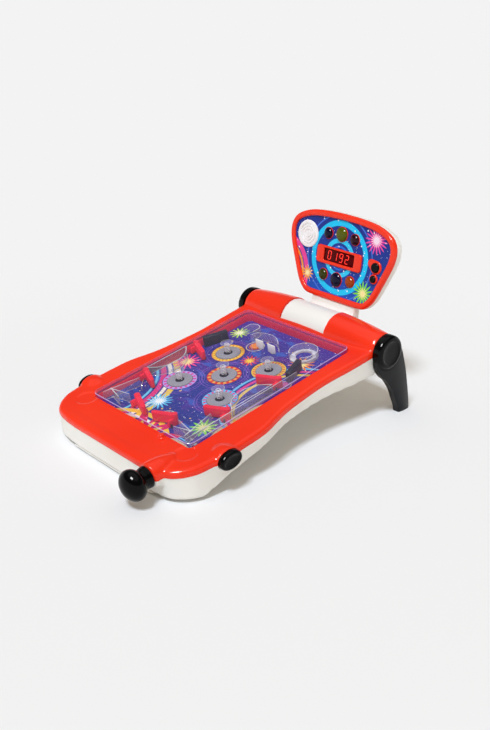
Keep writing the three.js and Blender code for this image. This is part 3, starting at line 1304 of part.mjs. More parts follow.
function headPanel() {
  const floorY = FACE_Y + RECESS - STAND;
  const range = [floorY - PANEL_THICK, floorY];
  const through = [0, BACK_Y];
  const sheet = acrossY(insetLoop(headOutline(), RECESS_INSET + FIT), range);
  const holes = [
    ...DOMES.map(([place, radius]) => pinAt(radius + DOME_RIM + 2 * FIT, place, through)),
    acrossY(frameLoop(FIT), through),
    kidney(FIT, through),
    pinAt(SPEAKER_SPIGOT + FIT, SPEAKER, through),
  ];
  return cut(sheet, ...holes);
}

function displayWindow() {
  const pane = acrossY(windowLoop(0), [WINDOW_FRONT_Y, BACK_Y + STAND + LENS_PLATE]);
  const flange = acrossY(windowLoop(WINDOW_FLANGE), [BACK_Y + STAND, BACK_Y + STAND + LENS_PLATE]);
  return pane.add(flange);
}

function lampLens() {
  const range = [BACK_Y + STAND, BACK_Y + STAND + LENS_PLATE];
  const plateLoop = roundedBox([-LENS_PLATE_HALF_X, LENS_PLATE_HALF_X], LENS_PLATE_Z, LENS_PLATE_CORNER);
  const plate = cut(acrossY(plateLoop, range), acrossY(windowLoop(WINDOW_FLANGE + FIT), [0, 2 * BACK_Y]));
  const domes = DOMES.map(([place, radius]) => {
    const curve = Array.from({ length: CORNER_STEPS + 1 }, (_, i) => {
      const angle = (QUARTER * i) / CORNER_STEPS;
      return [radius * Math.sin(angle), DOME_RIM_Y - DOME_RISE * Math.cos(angle)];
    });
    curve[0][0] = 0;
    return turned([...curve, [radius, range[1]], [0, range[1]]], "y", place, SMALL_STEPS);
  });
  return join(plate, ...domes);
}

function speakerGrille() {
  const profile = [
    [0, SPEAKER_FRONT_Y],
    [SPEAKER_RADIUS - SPEAKER_DEPTH, SPEAKER_FRONT_Y],
    [SPEAKER_RADIUS, FACE_Y + RECESS - STAND - PANEL_THICK - STAND],
    [SPEAKER_SPIGOT, FACE_Y + RECESS - STAND - PANEL_THICK - STAND],
    [SPEAKER_SPIGOT, BACK_Y],
    [0, BACK_Y],
  ];
  const disc = turned(profile, "y", SPEAKER, ROUND_STEPS);
  const grooves = SPEAKER_RINGS.map((radius) => {
    const range = [SPEAKER_FRONT_Y - FIT, SPEAKER_FRONT_Y + SPEAKER_DEPTH];
    return sleeve(radius + SPEAKER_SLOT_HALF, radius - SPEAKER_SLOT_HALF, "y", SPEAKER, range, ROUND_STEPS);
  });
  return cut(disc, ...grooves);
}

function keyCap({ x, z, radius }) {
  const flangeFront = BACK_Y + STAND;
  const profile = [
    [0, KEY_FRONT_Y],
    [radius - KEY_EDGE, KEY_FRONT_Y],
    [radius, KEY_FRONT_Y + KEY_EDGE],
    [radius, flangeFront],
    [radius + KEY_FLANGE, flangeFront],
    [radius + KEY_FLANGE, flangeFront + KEY_FLANGE_THICK],
    [0, flangeFront + KEY_FLANGE_THICK],
  ];
  return turned(profile, "y", [x, z], ROUND_STEPS);
}

// Assembly
const RED = "#e8321a";
const WHITE = "#eeeeec";
const BLACK = "#151515";
const CLEAR = "#cfd4f0";
const STEEL = "#b9bcc0";
const CELL_GREEN = "#3a6a4a";
const FLIPPER_RED = "#d81432";
const BOARD_BLUE = "#28307c";
const CIRCUIT_GREEN = "#2f6b3d";
const WINDOW_RED = "#2a0a10";
const LAMP_BROWN = "#3a2a28";

add("base_shell", baseShell(), WHITE, root);
add("battery_door", batteryDoor(), WHITE, root);
add("door_screw", doorScrew(), STEEL, root);
for (let i = 1; i <= CELL_COUNT; i += 1) {
  add("battery_" + i, cell(i), CELL_GREEN, root);
}
add("foot_left", foot(-1), BLACK, root);
add("foot_right", foot(1), BLACK, root);
add("leg_left", leg(-1), BLACK, root);
add("leg_right", leg(1), BLACK, root);

add("top_shell", topShell(), RED, deck);
add("play_tray", playTray(), BOARD_BLUE, deck);
add("clear_cover", clearCover(), CLEAR, deck);
add("circuit_board", circuitBoard(), CIRCUIT_GREEN, deck);
const springs = BUMPERS.map(bumperSpring);
springs.forEach(({ solid }, i) => add("bumper_spring_" + (i + 1), solid, STEEL, deck));
BUMPERS.forEach((place, i) => add("bumper_cap_" + (i + 1), bumperCap(place), CLEAR, deck));
FLIPPERS_LEFT.forEach((pivot, i) => add("flipper_left_" + (i + 1), flipper(pivot, -1), FLIPPER_RED, deck));
FLIPPERS_RIGHT.forEach((pivot, i) => add("flipper_right_" + (i + 1), flipper(pivot, 1), FLIPPER_RED, deck));
add("push_bar_left", pushBar(FLIPPERS_LEFT, -1), BLACK, deck);
add("push_bar_right", pushBar(FLIPPERS_RIGHT, 1), BLACK, deck);
add("button_cap_left", buttonCap(-1), BLACK, deck);
add("button_cap_right", buttonCap(1), BLACK, deck);
add("return_spring_left", returnSpring(-1), STEEL, deck);
add("return_spring_right", returnSpring(1), STEEL, deck);
add("plunger_knob", plungerKnob(), BLACK, deck);
add("plunger_rod", plungerRod(), STEEL, deck);
add("plunger_spring", plungerSpring(), STEEL, deck);
add("steel_ball", steelBall(), STEEL, deck);
add("guide_hood", guideWall(backLine(HOOD_CENTRE, HOOD_LINE)), CLEAR, deck);
add("guide_arch", guideWall(smooth(backLine(ARCH_CENTRE, ARCH_LINE), SMALL_STEPS)), CLEAR, deck);
add("guide_left", sideGuide(-1), CLEAR, deck);
add("guide_right", sideGuide(1), CLEAR, deck);
add("guide_front_left", fanGuide(-1), CLEAR, deck);
add("guide_front_right", fanGuide(1), CLEAR, deck);
add("vortex_cup", vortexCup(), CLEAR, deck);
const laneLine = [
  [LANE_WALL_X, WELL_FRONT + LANE_BACK],
  [LANE_WALL_X, WELL_BACK - LANE_AHEAD],
];
add("lane_wall", guideWall(laneLine), CLEAR, deck);
add("deflector_left", deflector(-1, DEFLECTOR_LEFT_IN), BLACK, deck);
add("deflector_right", deflector(1, DEFLECTOR_RIGHT_IN), BLACK, deck);
TARGET_X.forEach((x, i) => add(["target_left", "target_right"][i], target(x), WHITE, deck));

add("head_case", headCase(), WHITE, head);
add("head_bezel", headBezel(), RED, head);
add("head_panel", headPanel(), BOARD_BLUE, head);
add("display_window", displayWindow(), WINDOW_RED, head);
add("lamp_lens", lampLens(), LAMP_BROWN, head);
add("speaker_grille", speakerGrille(), WHITE, head);
add("start_button", keyCap(START), BLACK, head);
add("mode_button", keyCap(MODE), BLACK, head);

// The origin is the middle of the bottom of the whole.
root.updateMatrixWorld(true);
const whole = new THREE.Box3().setFromObject(root, true);
const middle = whole.getCenter(new THREE.Vector3());
root.position.set(-middle.x, -middle.y, -whole.min.z);
root.updateMatrixWorld(true);

const places = {
  spring_gap_mm: Math.min(...springs.map(({ gap }) => gap)),
  whole_mm: whole.getSize(new THREE.Vector3()).toArray(),
  shift_mm: root.position.toArray(),
  key_travel_mm: KEY_TRAVEL,
};
console.log(JSON.stringify(places));

export default root;
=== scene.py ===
"""Looks of the tabletop pinball game: shells, clear play cover, printed board, score head and materials."""

import math

import bmesh
import bpy
from mathutils import Matrix, Vector

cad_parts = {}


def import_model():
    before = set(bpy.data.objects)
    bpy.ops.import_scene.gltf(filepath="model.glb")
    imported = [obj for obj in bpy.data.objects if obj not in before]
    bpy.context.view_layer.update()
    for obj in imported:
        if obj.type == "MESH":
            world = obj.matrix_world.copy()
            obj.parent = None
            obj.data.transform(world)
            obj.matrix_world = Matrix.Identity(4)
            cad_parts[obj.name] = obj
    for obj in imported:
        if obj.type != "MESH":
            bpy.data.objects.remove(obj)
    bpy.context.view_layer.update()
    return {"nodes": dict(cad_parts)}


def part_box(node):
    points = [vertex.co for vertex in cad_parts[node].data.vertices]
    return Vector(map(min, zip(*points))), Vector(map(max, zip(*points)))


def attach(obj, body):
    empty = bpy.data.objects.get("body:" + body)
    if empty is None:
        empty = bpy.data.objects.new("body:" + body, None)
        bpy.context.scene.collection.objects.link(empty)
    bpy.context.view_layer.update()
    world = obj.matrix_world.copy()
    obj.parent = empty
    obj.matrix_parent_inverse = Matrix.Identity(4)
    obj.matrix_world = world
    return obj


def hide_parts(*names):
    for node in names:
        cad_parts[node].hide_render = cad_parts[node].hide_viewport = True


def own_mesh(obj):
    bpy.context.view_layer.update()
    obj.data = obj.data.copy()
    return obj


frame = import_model()

# Places. Lengths are in millimetres until a piece is placed.
MM = 0.001
SLOPE = math.radians(9.85)
LEAN = math.radians(7.955)
FOOT_MIDDLE_Y = -124
TUBE_Y = 237.8985
TUBE_Z = 101.6952
TUBE_HALF = 134.9
DECK_Z = 55.7
SEAM_H = 4.4
SEAM_GAP = 0.15

# Steps in which a large, a middling and a small round piece is spun
SPIN_LARGE = 96
SPIN_MIDDLE = 72
SPIN_SMALL = 48


def level_shift():
    """How far the level frame's Y lies from the model's, read from a front foot."""
    low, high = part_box("foot_left")
    return (low[1] + high[1]) / 2 / MM - FOOT_MIDDLE_Y


LEVEL = Matrix.Translation((0, level_shift(), 0))
DECK = LEVEL @ Matrix.Translation((0, 0, DECK_Z)) @ Matrix.Rotation(SLOPE, 4, "X")
HEAD = LEVEL @ Matrix.Translation((0, TUBE_Y, TUBE_Z)) @ Matrix.Rotation(-LEAN, 4, "X")
DECK_UP = DECK.to_3x3() @ Vector((0, 0, 1))
TUBE_DECK_Y = TUBE_Y * math.cos(SLOPE) + (TUBE_Z - DECK_Z) * math.sin(SLOPE)
TUBE_DECK_H = (TUBE_Z - DECK_Z) * math.cos(SLOPE) - TUBE_Y * math.sin(SLOPE)


def in_metres(place):
    """The same place with its shift in metres."""
    return Matrix.Translation(place.to_translation() * MM) @ place.to_3x3().to_4x4()


# Loops of points
def spline(points, steps):
    """Points along a smooth curve through the given ones."""
    out = []
    last = len(points) - 1
    for step in range(steps + 1):
        t = last * step / steps
        i = min(int(t), last - 1)
        t -= i
        a, b, c, d = (points[min(max(i + k, 0), last)] for k in (-1, 0, 1, 2))
        out.append(tuple(
            0.5 * (2 * q + (r - p) * t + (2 * p - 5 * q + 4 * r - s) * t * t
                   + (3 * q - p - 3 * r + s) * t ** 3)
            for p, q, r, s in zip(a, b, c, d)))
    return out


def mirrored(half, middle=()):
    """A right half, what lies between, and the left half that mirrors it."""
    return half + list(middle) + [(-x, y) for x, y in reversed(half)]


def angles(count):
    """Angles that part a full turn evenly."""
    return [2 * math.pi * i / count for i in range(count)]


def arc(centre, radius, start, end, steps):
    return [(centre[0] + radius * math.cos(start + (end - start) * i / steps),
             centre[1] + radius * math.sin(start + (end - start) * i / steps)) for i in range(steps + 1)]


def rounded(x, y, radius, steps=8):
    """Loop of a rectangle with rounded corners; x and y are (low, high)."""
    corners = [(x[1] - radius, y[1] - radius), (x[0] + radius, y[1] - radius),
               (x[0] + radius, y[0] + radius), (x[1] - radius, y[0] + radius)]
    quarter = math.pi / 2
    return [p for i, c in enumerate(corners) for p in arc(c, radius, i * quarter, (i + 1) * quarter, steps)]


def capsule(wide, tip, length, angle, steps=14):
    """Loop round a wide circle at the origin and a narrower one at a length from it."""
    lean = math.acos((wide - tip) / length)
    loop = arc((0, 0), wide, lean, 2 * math.pi - lean, steps * 2)
    loop += arc((length, 0), tip, -lean, lean, steps)
    return [(x * math.cos(angle) - y * math.sin(angle), x * math.sin(angle) + y * math.cos(angle))
            for x, y in loop]


def inset(loop, distance):
    """The loop moved inwards, for a loop that runs anticlockwise."""
    out = []
    for i, point in enumerate(loop):
        before = loop[i - 1]
        after = loop[(i + 1) % len(loop)]
        a = Vector((point[1] - before[1], before[0] - point[0])).normalized()
        b = Vector((after[1] - point[1], point[0] - after[0])).normalized()
        mean = (a + b).normalized()
        step = distance / max(mean.dot(a), 0.3)
        out.append((point[0] - mean.x * step, point[1] - mean.y * step))
    return out


def along_z(loop, height):
    return [(x, y, height) for x, y in loop]


def along_y(loop, y):
    return [(x, y, z) for x, z in loop]


def along_x(loop, x):
    return [(x, y, z) for y, z in loop]


def tiers(loop, steps, along):
    """The loop at each step, which gives how far it moves inwards and where it lies."""
    return [along(inset(loop, distance), place) for distance, place in steps]


# Mesh building
def loft(bm, loops, ring=False):
    """Draws the first loop out through the others, and closes them on themselves or fills both ends."""
    known = set(bm.faces)
    first = [bm.verts.new(p) for p in loops[0]]
    start = [bm.edges.new(pair) for pair in zip(first, first[1:] + first[:1])]
    row, edges = first, start
    for loop in loops[1:] + (loops[:1] if ring else []):
        drawn = bmesh.ops.extrude_edge_only(bm, edges=edges)["geom"]
        fresh = {item for item in drawn if isinstance(item, bmesh.types.BMVert)}
        row = [next(e.other_vert(v) for e in v.link_edges if e.other_vert(v) in fresh) for v in row]
        for vert, point in zip(row, loop):
            vert.co = point
        edges = [item for item in drawn
                 if isinstance(item, bmesh.types.BMEdge) and all(v in fresh for v in item.verts)]
    if ring:
        bmesh.ops.weld_verts(bm, targetmap=dict(zip(row, first)))
    else:
        for ends in (start, edges):
            bmesh.ops.edgeloop_fill(bm, edges=ends)
    bmesh.ops.recalc_face_normals(bm, faces=[face for face in bm.faces if face not in known])


def turn(bm, profile, axis, centre, steps):
    """Spins a (radius, along) profile about an axis through centre. A profile may end on the axis."""
    along = {"x": Vector((1, 0, 0)), "y": Vector((0, 1, 0)), "z": Vector((0, 0, 1))}[axis]
    side = {"x": Vector((0, 1, 0)), "y": Vector((0, 0, 1)), "z": Vector((1, 0, 0))}[axis]
    centre = Vector(centre)
    verts = [bm.verts.new(centre + along * a + side * r) for r, a in profile]
    edges = [bm.edges.new(pair) for pair in zip(verts, verts[1:])]
    known = set(bm.verts) - set(verts)
    bmesh.ops.spin(bm, geom=verts + edges, cent=centre, axis=along, angle=2 * math.pi, steps=steps,
                   use_merge=True)
    mine = [v for v in bm.verts if v not in known]
    bmesh.ops.remove_doubles(bm, verts=mine, dist=1e-4)
    faces = [f for f in bm.faces if all(v not in known for v in f.verts)]
    bmesh.ops.recalc_face_normals(bm, faces=faces)


def object_with(bm, name):
    mesh = bpy.data.meshes.new(name)
    bm.to_mesh(mesh)
    bm.free()
    obj = bpy.data.objects.new(name, mesh)
    bpy.context.scene.collection.objects.link(obj)
    return obj


def object_of(bm, name, place=Matrix()):
    """Puts a mesh in millimetres at its place in the model."""
    bmesh.ops.transform(bm, matrix=in_metres(place) @ Matrix.Scale(MM, 4), verts=bm.verts)
    return object_with(bm, name)


def lofted(name, place, loops, ring=False):
    """A piece of one loft."""
    bm = bmesh.new()
    loft(bm, loops, ring)
    return object_of(bm, name, place)


def turned(name, place, profile, axis, centre, steps):
    """A piece of one spin."""
    bm = bmesh.new()
    turn(bm, profile, axis, centre, steps)
    return object_of(bm, name, place)


def settle(obj):
    """Applies the modifiers of a piece."""
    depsgraph = bpy.context.evaluated_depsgraph_get()
    mesh = bpy.data.meshes.new_from_object(obj.evaluated_get(depsgraph))
    old = obj.data
    obj.modifiers.clear()
    obj.data = mesh
    bpy.data.meshes.remove(old)
    return obj


def moulded(obj, voxel, rounds):
    """One smooth skin round overlapping solids, with soft inner corners, as a mould gives."""
    remesh = obj.modifiers.new("one_skin", "REMESH")
    remesh.mode = "VOXEL"
    remesh.voxel_size = voxel * MM
    soften = obj.modifiers.new("soften", "SMOOTH")
    soften.factor = 0.5
    soften.iterations = rounds
    return settle(obj)


def carved(obj, cutter):
    """Cuts one solid out of another and drops the cutter."""
    cut = obj.modifiers.new("cut", "BOOLEAN")
    cut.operation = "DIFFERENCE"
    cut.solver = "EXACT"
    cut.object = cutter
    settle(obj)
    bpy.data.objects.remove(cutter)
    return obj


def sliced(obj, height, normal):
    """Keeps the part of a piece that lies behind a plane at a height over the deck."""
    point = DECK @ Vector((0, 0, height)) * MM
    bm = bmesh.new()
    bm.from_mesh(obj.data)
    geom = bm.verts[:] + bm.edges[:] + bm.faces[:]
    bmesh.ops.bisect_plane(bm, geom=geom, plane_co=point, plane_no=normal, clear_outer=True)
    bm.to_mesh(obj.data)
    bm.free()
    return obj


def joined(first, *others):
    """Puts the meshes of several pieces into the first one."""
    bm = bmesh.new()
    for piece in (first, *others):
        bm.from_mesh(piece.data)
    bm.to_mesh(first.data)
    bm.free()
    for piece in others:
        bpy.data.objects.remove(piece)
    return first


def copied(node, name, width, segments=2):
    """A copy of a node with its loose triangles merged and its edges rounded."""
    bm = bmesh.new()
    bm.from_mesh(frame["nodes"][node].data)
    bmesh.ops.remove_doubles(bm, verts=bm.verts, dist=2e-6)
    bmesh.ops.dissolve_limit(bm, angle_limit=math.radians(1), verts=bm.verts, edges=bm.edges)
    if width:
        sharp = [e for e in bm.edges if len(e.link_faces) == 2 and e.calc_face_angle(0) > math.radians(40)]
        bmesh.ops.bevel(bm, geom=sharp, offset=width * MM, offset_type="OFFSET", segments=segments,
                        affect="EDGES", profile=0.5, material=-1, clamp_overlap=True)
    return object_with(bm, name)


def dress(obj, body, material, *stands_for, angle=35):
    """Gives a piece its material, shading and body, and hides the nodes that it stands for."""
    obj.data.materials.clear()
    obj.data.materials.append(material)
    obj.data.shade_smooth()
    obj.data.set_sharp_from_angle(angle=math.radians(angle))
    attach(obj, body)
    if stands_for:
        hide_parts(*stands_for)
    return obj


# Shader helpers
class Net:
    """Short calls for wiring a node tree."""

    def __init__(self, tree):
        self.tree = tree

    def add(self, kind, given=(), **settings):
        """A node with its settings and the inputs that are given."""
        node = self.tree.nodes.new(kind)
        for key, value in settings.items():
            setattr(node, key, value)
        self.feed(node, given)
        return node

    def link(self, source, target):
        if isinstance(source, bpy.types.NodeSocket):
            self.tree.links.new(source, target)
        else:
            target.default_value = source

    def feed(self, node, given):
        for key, value in dict(given).items():
            self.link(value, node.inputs[key])

    def math(self, operation, a, b=0.0, clamp=False):
        return self.add("ShaderNodeMath", {0: a, 1: b}, operation=operation, use_clamp=clamp).outputs[0]

    def vector(self, operation, a, b=(0, 0, 0)):
        node = self.add("ShaderNodeVectorMath", {0: a, 1: b}, operation=operation)
        return node.outputs["Value" if operation in ("DISTANCE", "LENGTH", "DOT_PRODUCT") else "Vector"]

    def mix(self, factor, a, b):
        given = {"Factor": factor, "A": a, "B": b}
        return self.add("ShaderNodeMix", given, data_type="RGBA").outputs["Result"]

    def ramp(self, value, low, high, start=0.0, end=1.0, smooth=False):
        given = enumerate((value, low, high, start, end))
        kind = "SMOOTHSTEP" if smooth else "LINEAR"
        return self.add("ShaderNodeMapRange", given, interpolation_type=kind).outputs[0]

    def noise(self, vector, scale, detail, rough=0.5):
        given = {"Vector": vector, "Scale": scale, "Detail": detail, "Roughness": rough}
        return self.add("ShaderNodeTexNoise", given).outputs["Fac"]

    def split(self, vector):
        return self.add("ShaderNodeSeparateXYZ", {0: vector}).outputs

    def join(self, given):
        return self.add("ShaderNodeCombineXYZ", given).outputs[0]

    def where(self):
        """The piece's own coordinates."""
        return self.add("ShaderNodeTexCoord").outputs["Object"]

    def looked_at(self):
        """Share of the rays that come from the camera, a gloss or a clear piece."""
        path = self.add("ShaderNodeLightPath").outputs
        second_hand = self.math("MAXIMUM", path["Is Glossy Ray"], path["Is Transmission Ray"])
        return self.math("MAXIMUM", path["Is Camera Ray"], second_hand)

    def blend(self, share, first, second, output):
        """Ends the net in a mix of two shaders."""
        mixed = self.add("ShaderNodeMixShader", {0: share, 1: first.outputs[0], 2: second.outputs[0]})
        self.add(output, {"Surface": mixed.outputs[0]})


def rgb(text):
    """A colour from its hex code, as the linear values that a shader takes."""
    values = [int(text[i:i + 2], 16) / 255 for i in (0, 2, 4)]
    return tuple(v / 12.92 if v <= 0.04045 else ((v + 0.055) / 1.055) ** 2.4 for v in values) + (1.0,)


MOULDING_INPUTS = [
    ("Vector", "Vector", (0, 0, 0)), ("Base", "Color", (1, 1, 1, 1)), ("Deep", "Color", (0.8, 0.8, 0.8, 1)),
    ("Gloss", "Float", 0.2), ("Scuff", "Float", 0.1), ("Unevenness", "Float", 0.05)]
MOULDING_OUTPUTS = [("Color", "Color"), ("Roughness", "Float"), ("Normal", "Vector")]
SCRATCH_STRETCH = (40.0, 900.0, 400.0)


def moulding_group():
    """Surface of moulded plastic: faint colour drift, fine scuffs in the gloss and a slight unevenness."""
    tree = bpy.data.node_groups.new("moulding_surface", "ShaderNodeTree")
    for name, kind, default in MOULDING_INPUTS:
        socket = tree.interface.new_socket(name, in_out="INPUT", socket_type="NodeSocket" + kind)
        socket.default_value = default
    for name, kind in MOULDING_OUTPUTS:
        tree.interface.new_socket(name, in_out="OUTPUT", socket_type="NodeSocket" + kind)
    net = Net(tree)
    given = net.add("NodeGroupInput").outputs
    drift = net.noise(given["Vector"], 9.0, 2.0)
    fine = net.noise(given["Vector"], 260.0, 4.0, 0.6)
    lumps = net.noise(given["Vector"], 55.0, 1.0)
    stretched = net.vector("MULTIPLY", given["Vector"], SCRATCH_STRETCH)
    scratch = net.ramp(net.noise(stretched, 1.0, 2.0), 0.62, 0.75)
    scuffs = net.math("MULTIPLY", net.math("ADD", scratch, net.ramp(fine, 0.45, 0.8)), given["Scuff"])
    height = net.math("ADD", lumps, net.math("MULTIPLY", fine, 0.04))
    bump = net.add("ShaderNodeBump", {"Strength": given["Unevenness"], "Distance": 0.0004, "Height": height})
    net.add("NodeGroupOutput", {"Color": net.mix(net.ramp(drift, 0.3, 0.7), given["Base"], given["Deep"]),
                                "Roughness": net.math("ADD", given["Gloss"], scuffs, clamp=True),
                                "Normal": bump.outputs["Normal"]})
    return tree


MOULDING = moulding_group()


class Finish(Net):
    """A material with its shader and its net."""

    def __init__(self, name):
        self.material = bpy.data.materials.new(name)
        self.material.use_nodes = True
        super().__init__(self.material.node_tree)
        self.tree.nodes.clear()
        self.shader = self.add("ShaderNodeBsdfPrincipled")
        self.add("ShaderNodeOutputMaterial", {"Surface": self.shader.outputs["BSDF"]})
        self.place = self.where()

    def surface(self, base, deep, gloss, scuff, uneven, feeds=("Base Color", "Roughness", "Normal")):
        """Feeds the shader inputs that are named from a moulded surface, and gives its colour."""
        given = {"Vector": self.place, "Base": base, "Deep": deep, "Gloss": gloss, "Scuff": scuff,
                 "Unevenness": uneven}
        group = self.add("ShaderNodeGroup", node_tree=MOULDING)
        self.feed(group, given)
        for name in feeds:
            self.link(group.outputs["Color" if name.endswith("Color") else name], self.shader.inputs[name])
        return group.outputs["Color"]

    def done(self, **given):
        """Feeds more of the shader's inputs, each space an underscore here, and gives the material."""
        self.feed(self.shader, {key.replace("_", " "): value for key, value in given.items()})
        return self.material


def plastic(name, base, deep, gloss, scuff, uneven, specular):
    """Moulded finish that drifts between two near colours."""
    finish = Finish(name)
    finish.surface(rgb(base), rgb(deep), gloss, scuff, uneven)
    return finish.done(Specular_IOR_Level=specular)


def metal(name, base, deep, gloss, scuff):
    finish = Finish(name)
    finish.surface(rgb(base), rgb(deep), gloss, scuff, 0.1)
    return finish.done(Metallic=1.0)


def facing_up(net):
    """Share by which a surface faces away from the play board."""
    up = Vector((0, -math.sin(SLOPE), math.cos(SLOPE)))
    normal = net.add("ShaderNodeTexCoord").outputs["Normal"]
    return net.math("ABSOLUTE", net.vector("DOT_PRODUCT", normal, up))


def see_through(name, tint, edge_tint, clear, rim, flat_face_highlight):
    """Clear plastic: little colour face on, more where it is seen along its surface, and a painted highlight
    in near white on faces lying flat to the board, such as cut edges on top.
    """
    finish = Finish(name)
    colour = finish.surface(rgb(tint), rgb(tint), 0.04, 0.05, 0.03, ("Roughness", "Normal"))
    facing = finish.add("ShaderNodeLayerWeight", {"Blend": 0.3}).outputs["Facing"]
    # Painted highlight: faces that lie flat to the board are painted near white and made less clear.
    flat = finish.ramp(facing_up(finish), 0.85, 0.97, smooth=True)
    sides = finish.mix(facing, colour, rgb(edge_tint))
    grazing = finish.ramp(facing, 0.25, 1.0, clear, rim)
    alpha = finish.math("MAXIMUM", grazing, finish.math("MULTIPLY", flat, flat_face_highlight))
    colour = finish.mix(flat, sides, rgb("fbfaff"))
    return finish.done(Base_Color=colour, Alpha=alpha, Specular_IOR_Level=0.6)


def leg_material():
    """Legs: gloss on the round end over the tube, fine satin down the leg."""
    finish = Finish("leg_plastic")
    split = finish.split(finish.place)
    axis = LEVEL @ Vector((0, TUBE_Y, TUBE_Z)) * MM
    away = finish.vector("DISTANCE", finish.join({1: split[1], 2: split[2]}), (0, axis.y, axis.z))
    satin = finish.ramp(away, 0.0258, 0.0275)
    base = finish.mix(satin, rgb("040404"), rgb("1b1c1e"))
    deep = finish.mix(satin, rgb("060606"), rgb("222326"))
    finish.surface(base, deep, finish.ramp(satin, 0, 1, 0.05, 0.3), 0.06, 0.04)
    return finish.done(Specular_IOR_Level=0.15)


def lit(name, colour, strength):
    finish = Finish(name)
    finish.surface(rgb(colour), rgb(colour), 0.3, 0.05, 0.02, ("Base Color", "Emission Color"))
    return finish.done(Emission_Strength=strength)


def cover_material():
    """The play cover: almost clear on top, violet through its wall, with a painted highlight in pale
    lavender along its rounded rim.
    """
    finish = Finish("clear_cover_plastic")
    colour = finish.surface(rgb("d9d2f0"), rgb("cfc6ee"), 0.03, 0.03, 0.02, ("Roughness",))
    up = facing_up(finish)
    flat = finish.ramp(up, 0.93, 0.995, smooth=True)
    rising = finish.ramp(up, 0.08, 0.35, smooth=True)
    # Painted highlight: the rounded rim between wall and top is painted pale lavender and made less clear.
    rim = finish.math("MULTIPLY", rising, finish.math("SUBTRACT", 1.0, flat))
    wall_tint_and_rim_highlight = finish.mix(rim, rgb("8656bc"), rgb("cdbcf0"))
    clear = finish.ramp(flat, 0.0, 1.0, 0.22, 0.03)
    alpha = finish.math("ADD", clear, finish.math("MULTIPLY", rim, 0.42), clamp=True)
    colour = finish.mix(flat, wall_tint_and_rim_highlight, colour)
    return finish.done(Base_Color=colour, Alpha=alpha, Specular_IOR_Level=0.25)


# Materials: colour and its drift, gloss, scuffs, unevenness and shine
RED = plastic("red_case_plastic", "fb3a1c", "f53216", 0.14, 0.05, 0.04, 0.3)
WELL_RED = plastic("well_wall_plastic", "f0184c", "d41040", 0.25, 0.05, 0.05, 0.3)
WHITE = plastic("white_case_plastic", "f5f3ed", "f0ede6", 0.3, 0.08, 0.05, 0.35)
WHITE_GLOSS = plastic("white_flap_plastic", "fbfafa", "f3f2f2", 0.2, 0.05, 0.03, 0.3)
BLACK = plastic("black_gloss_plastic", "030303", "060606", 0.05, 0.04, 0.02, 0.13)
BLACK_SATIN = plastic("black_satin_plastic", "111112", "18181a", 0.32, 0.1, 0.05, 0.4)
BLOCK_BLUE = plastic("dark_block_plastic", "15172a", "0c0d18", 0.4, 0.1, 0.05, 0.3)
FLIPPER_RED = plastic("flipper_plastic", "ff1a3c", "f41234", 0.14, 0.05, 0.04, 0.4)
RUBBER = plastic("foot_rubber", "1a1a1a", "232323", 0.7, 0.1, 0.2, 0.3)
STEEL = metal("bright_steel", "d6d8dc", "c3c6ca", 0.16, 0.1)
# The steel coils are near-white plastic: their brightness is painted shine in place of the metal's
# reflections.
COIL_PAINTED_SHINE = plastic("steel_coil_painted_shine", "f6f6fa", "e2e2ea", 0.1, 0.05, 0.05, 1.0)
CELL = metal("cell_sleeve", "4f6a58", "3e5546", 0.35, 0.1)
CIRCUIT = plastic("circuit_lacquer", "1f6b34", "195a2b", 0.3, 0.1, 0.1, 0.5)
CLEAR_PIECES = see_through("clear_guide_plastic", "eeeaf8", "cdc6ea", 0.1, 0.55, 0.62)
CAP_CLEAR = see_through("clear_cap_plastic", "f6f4fc", "9a94b4", 0.08, 0.75, 0.3)
WINDOW = plastic("dark_window", "5e0206", "4c0204", 0.2, 0.04, 0.02, 0.05)
LEG_BLACK = leg_material()
DIGITS = lit("lit_segments", "ff2a1c", 0.9)
COVER = cover_material()


# Prints: planets, rays and rings, laid out in millimetres on their plane
PRINT_SOFT = 0.5


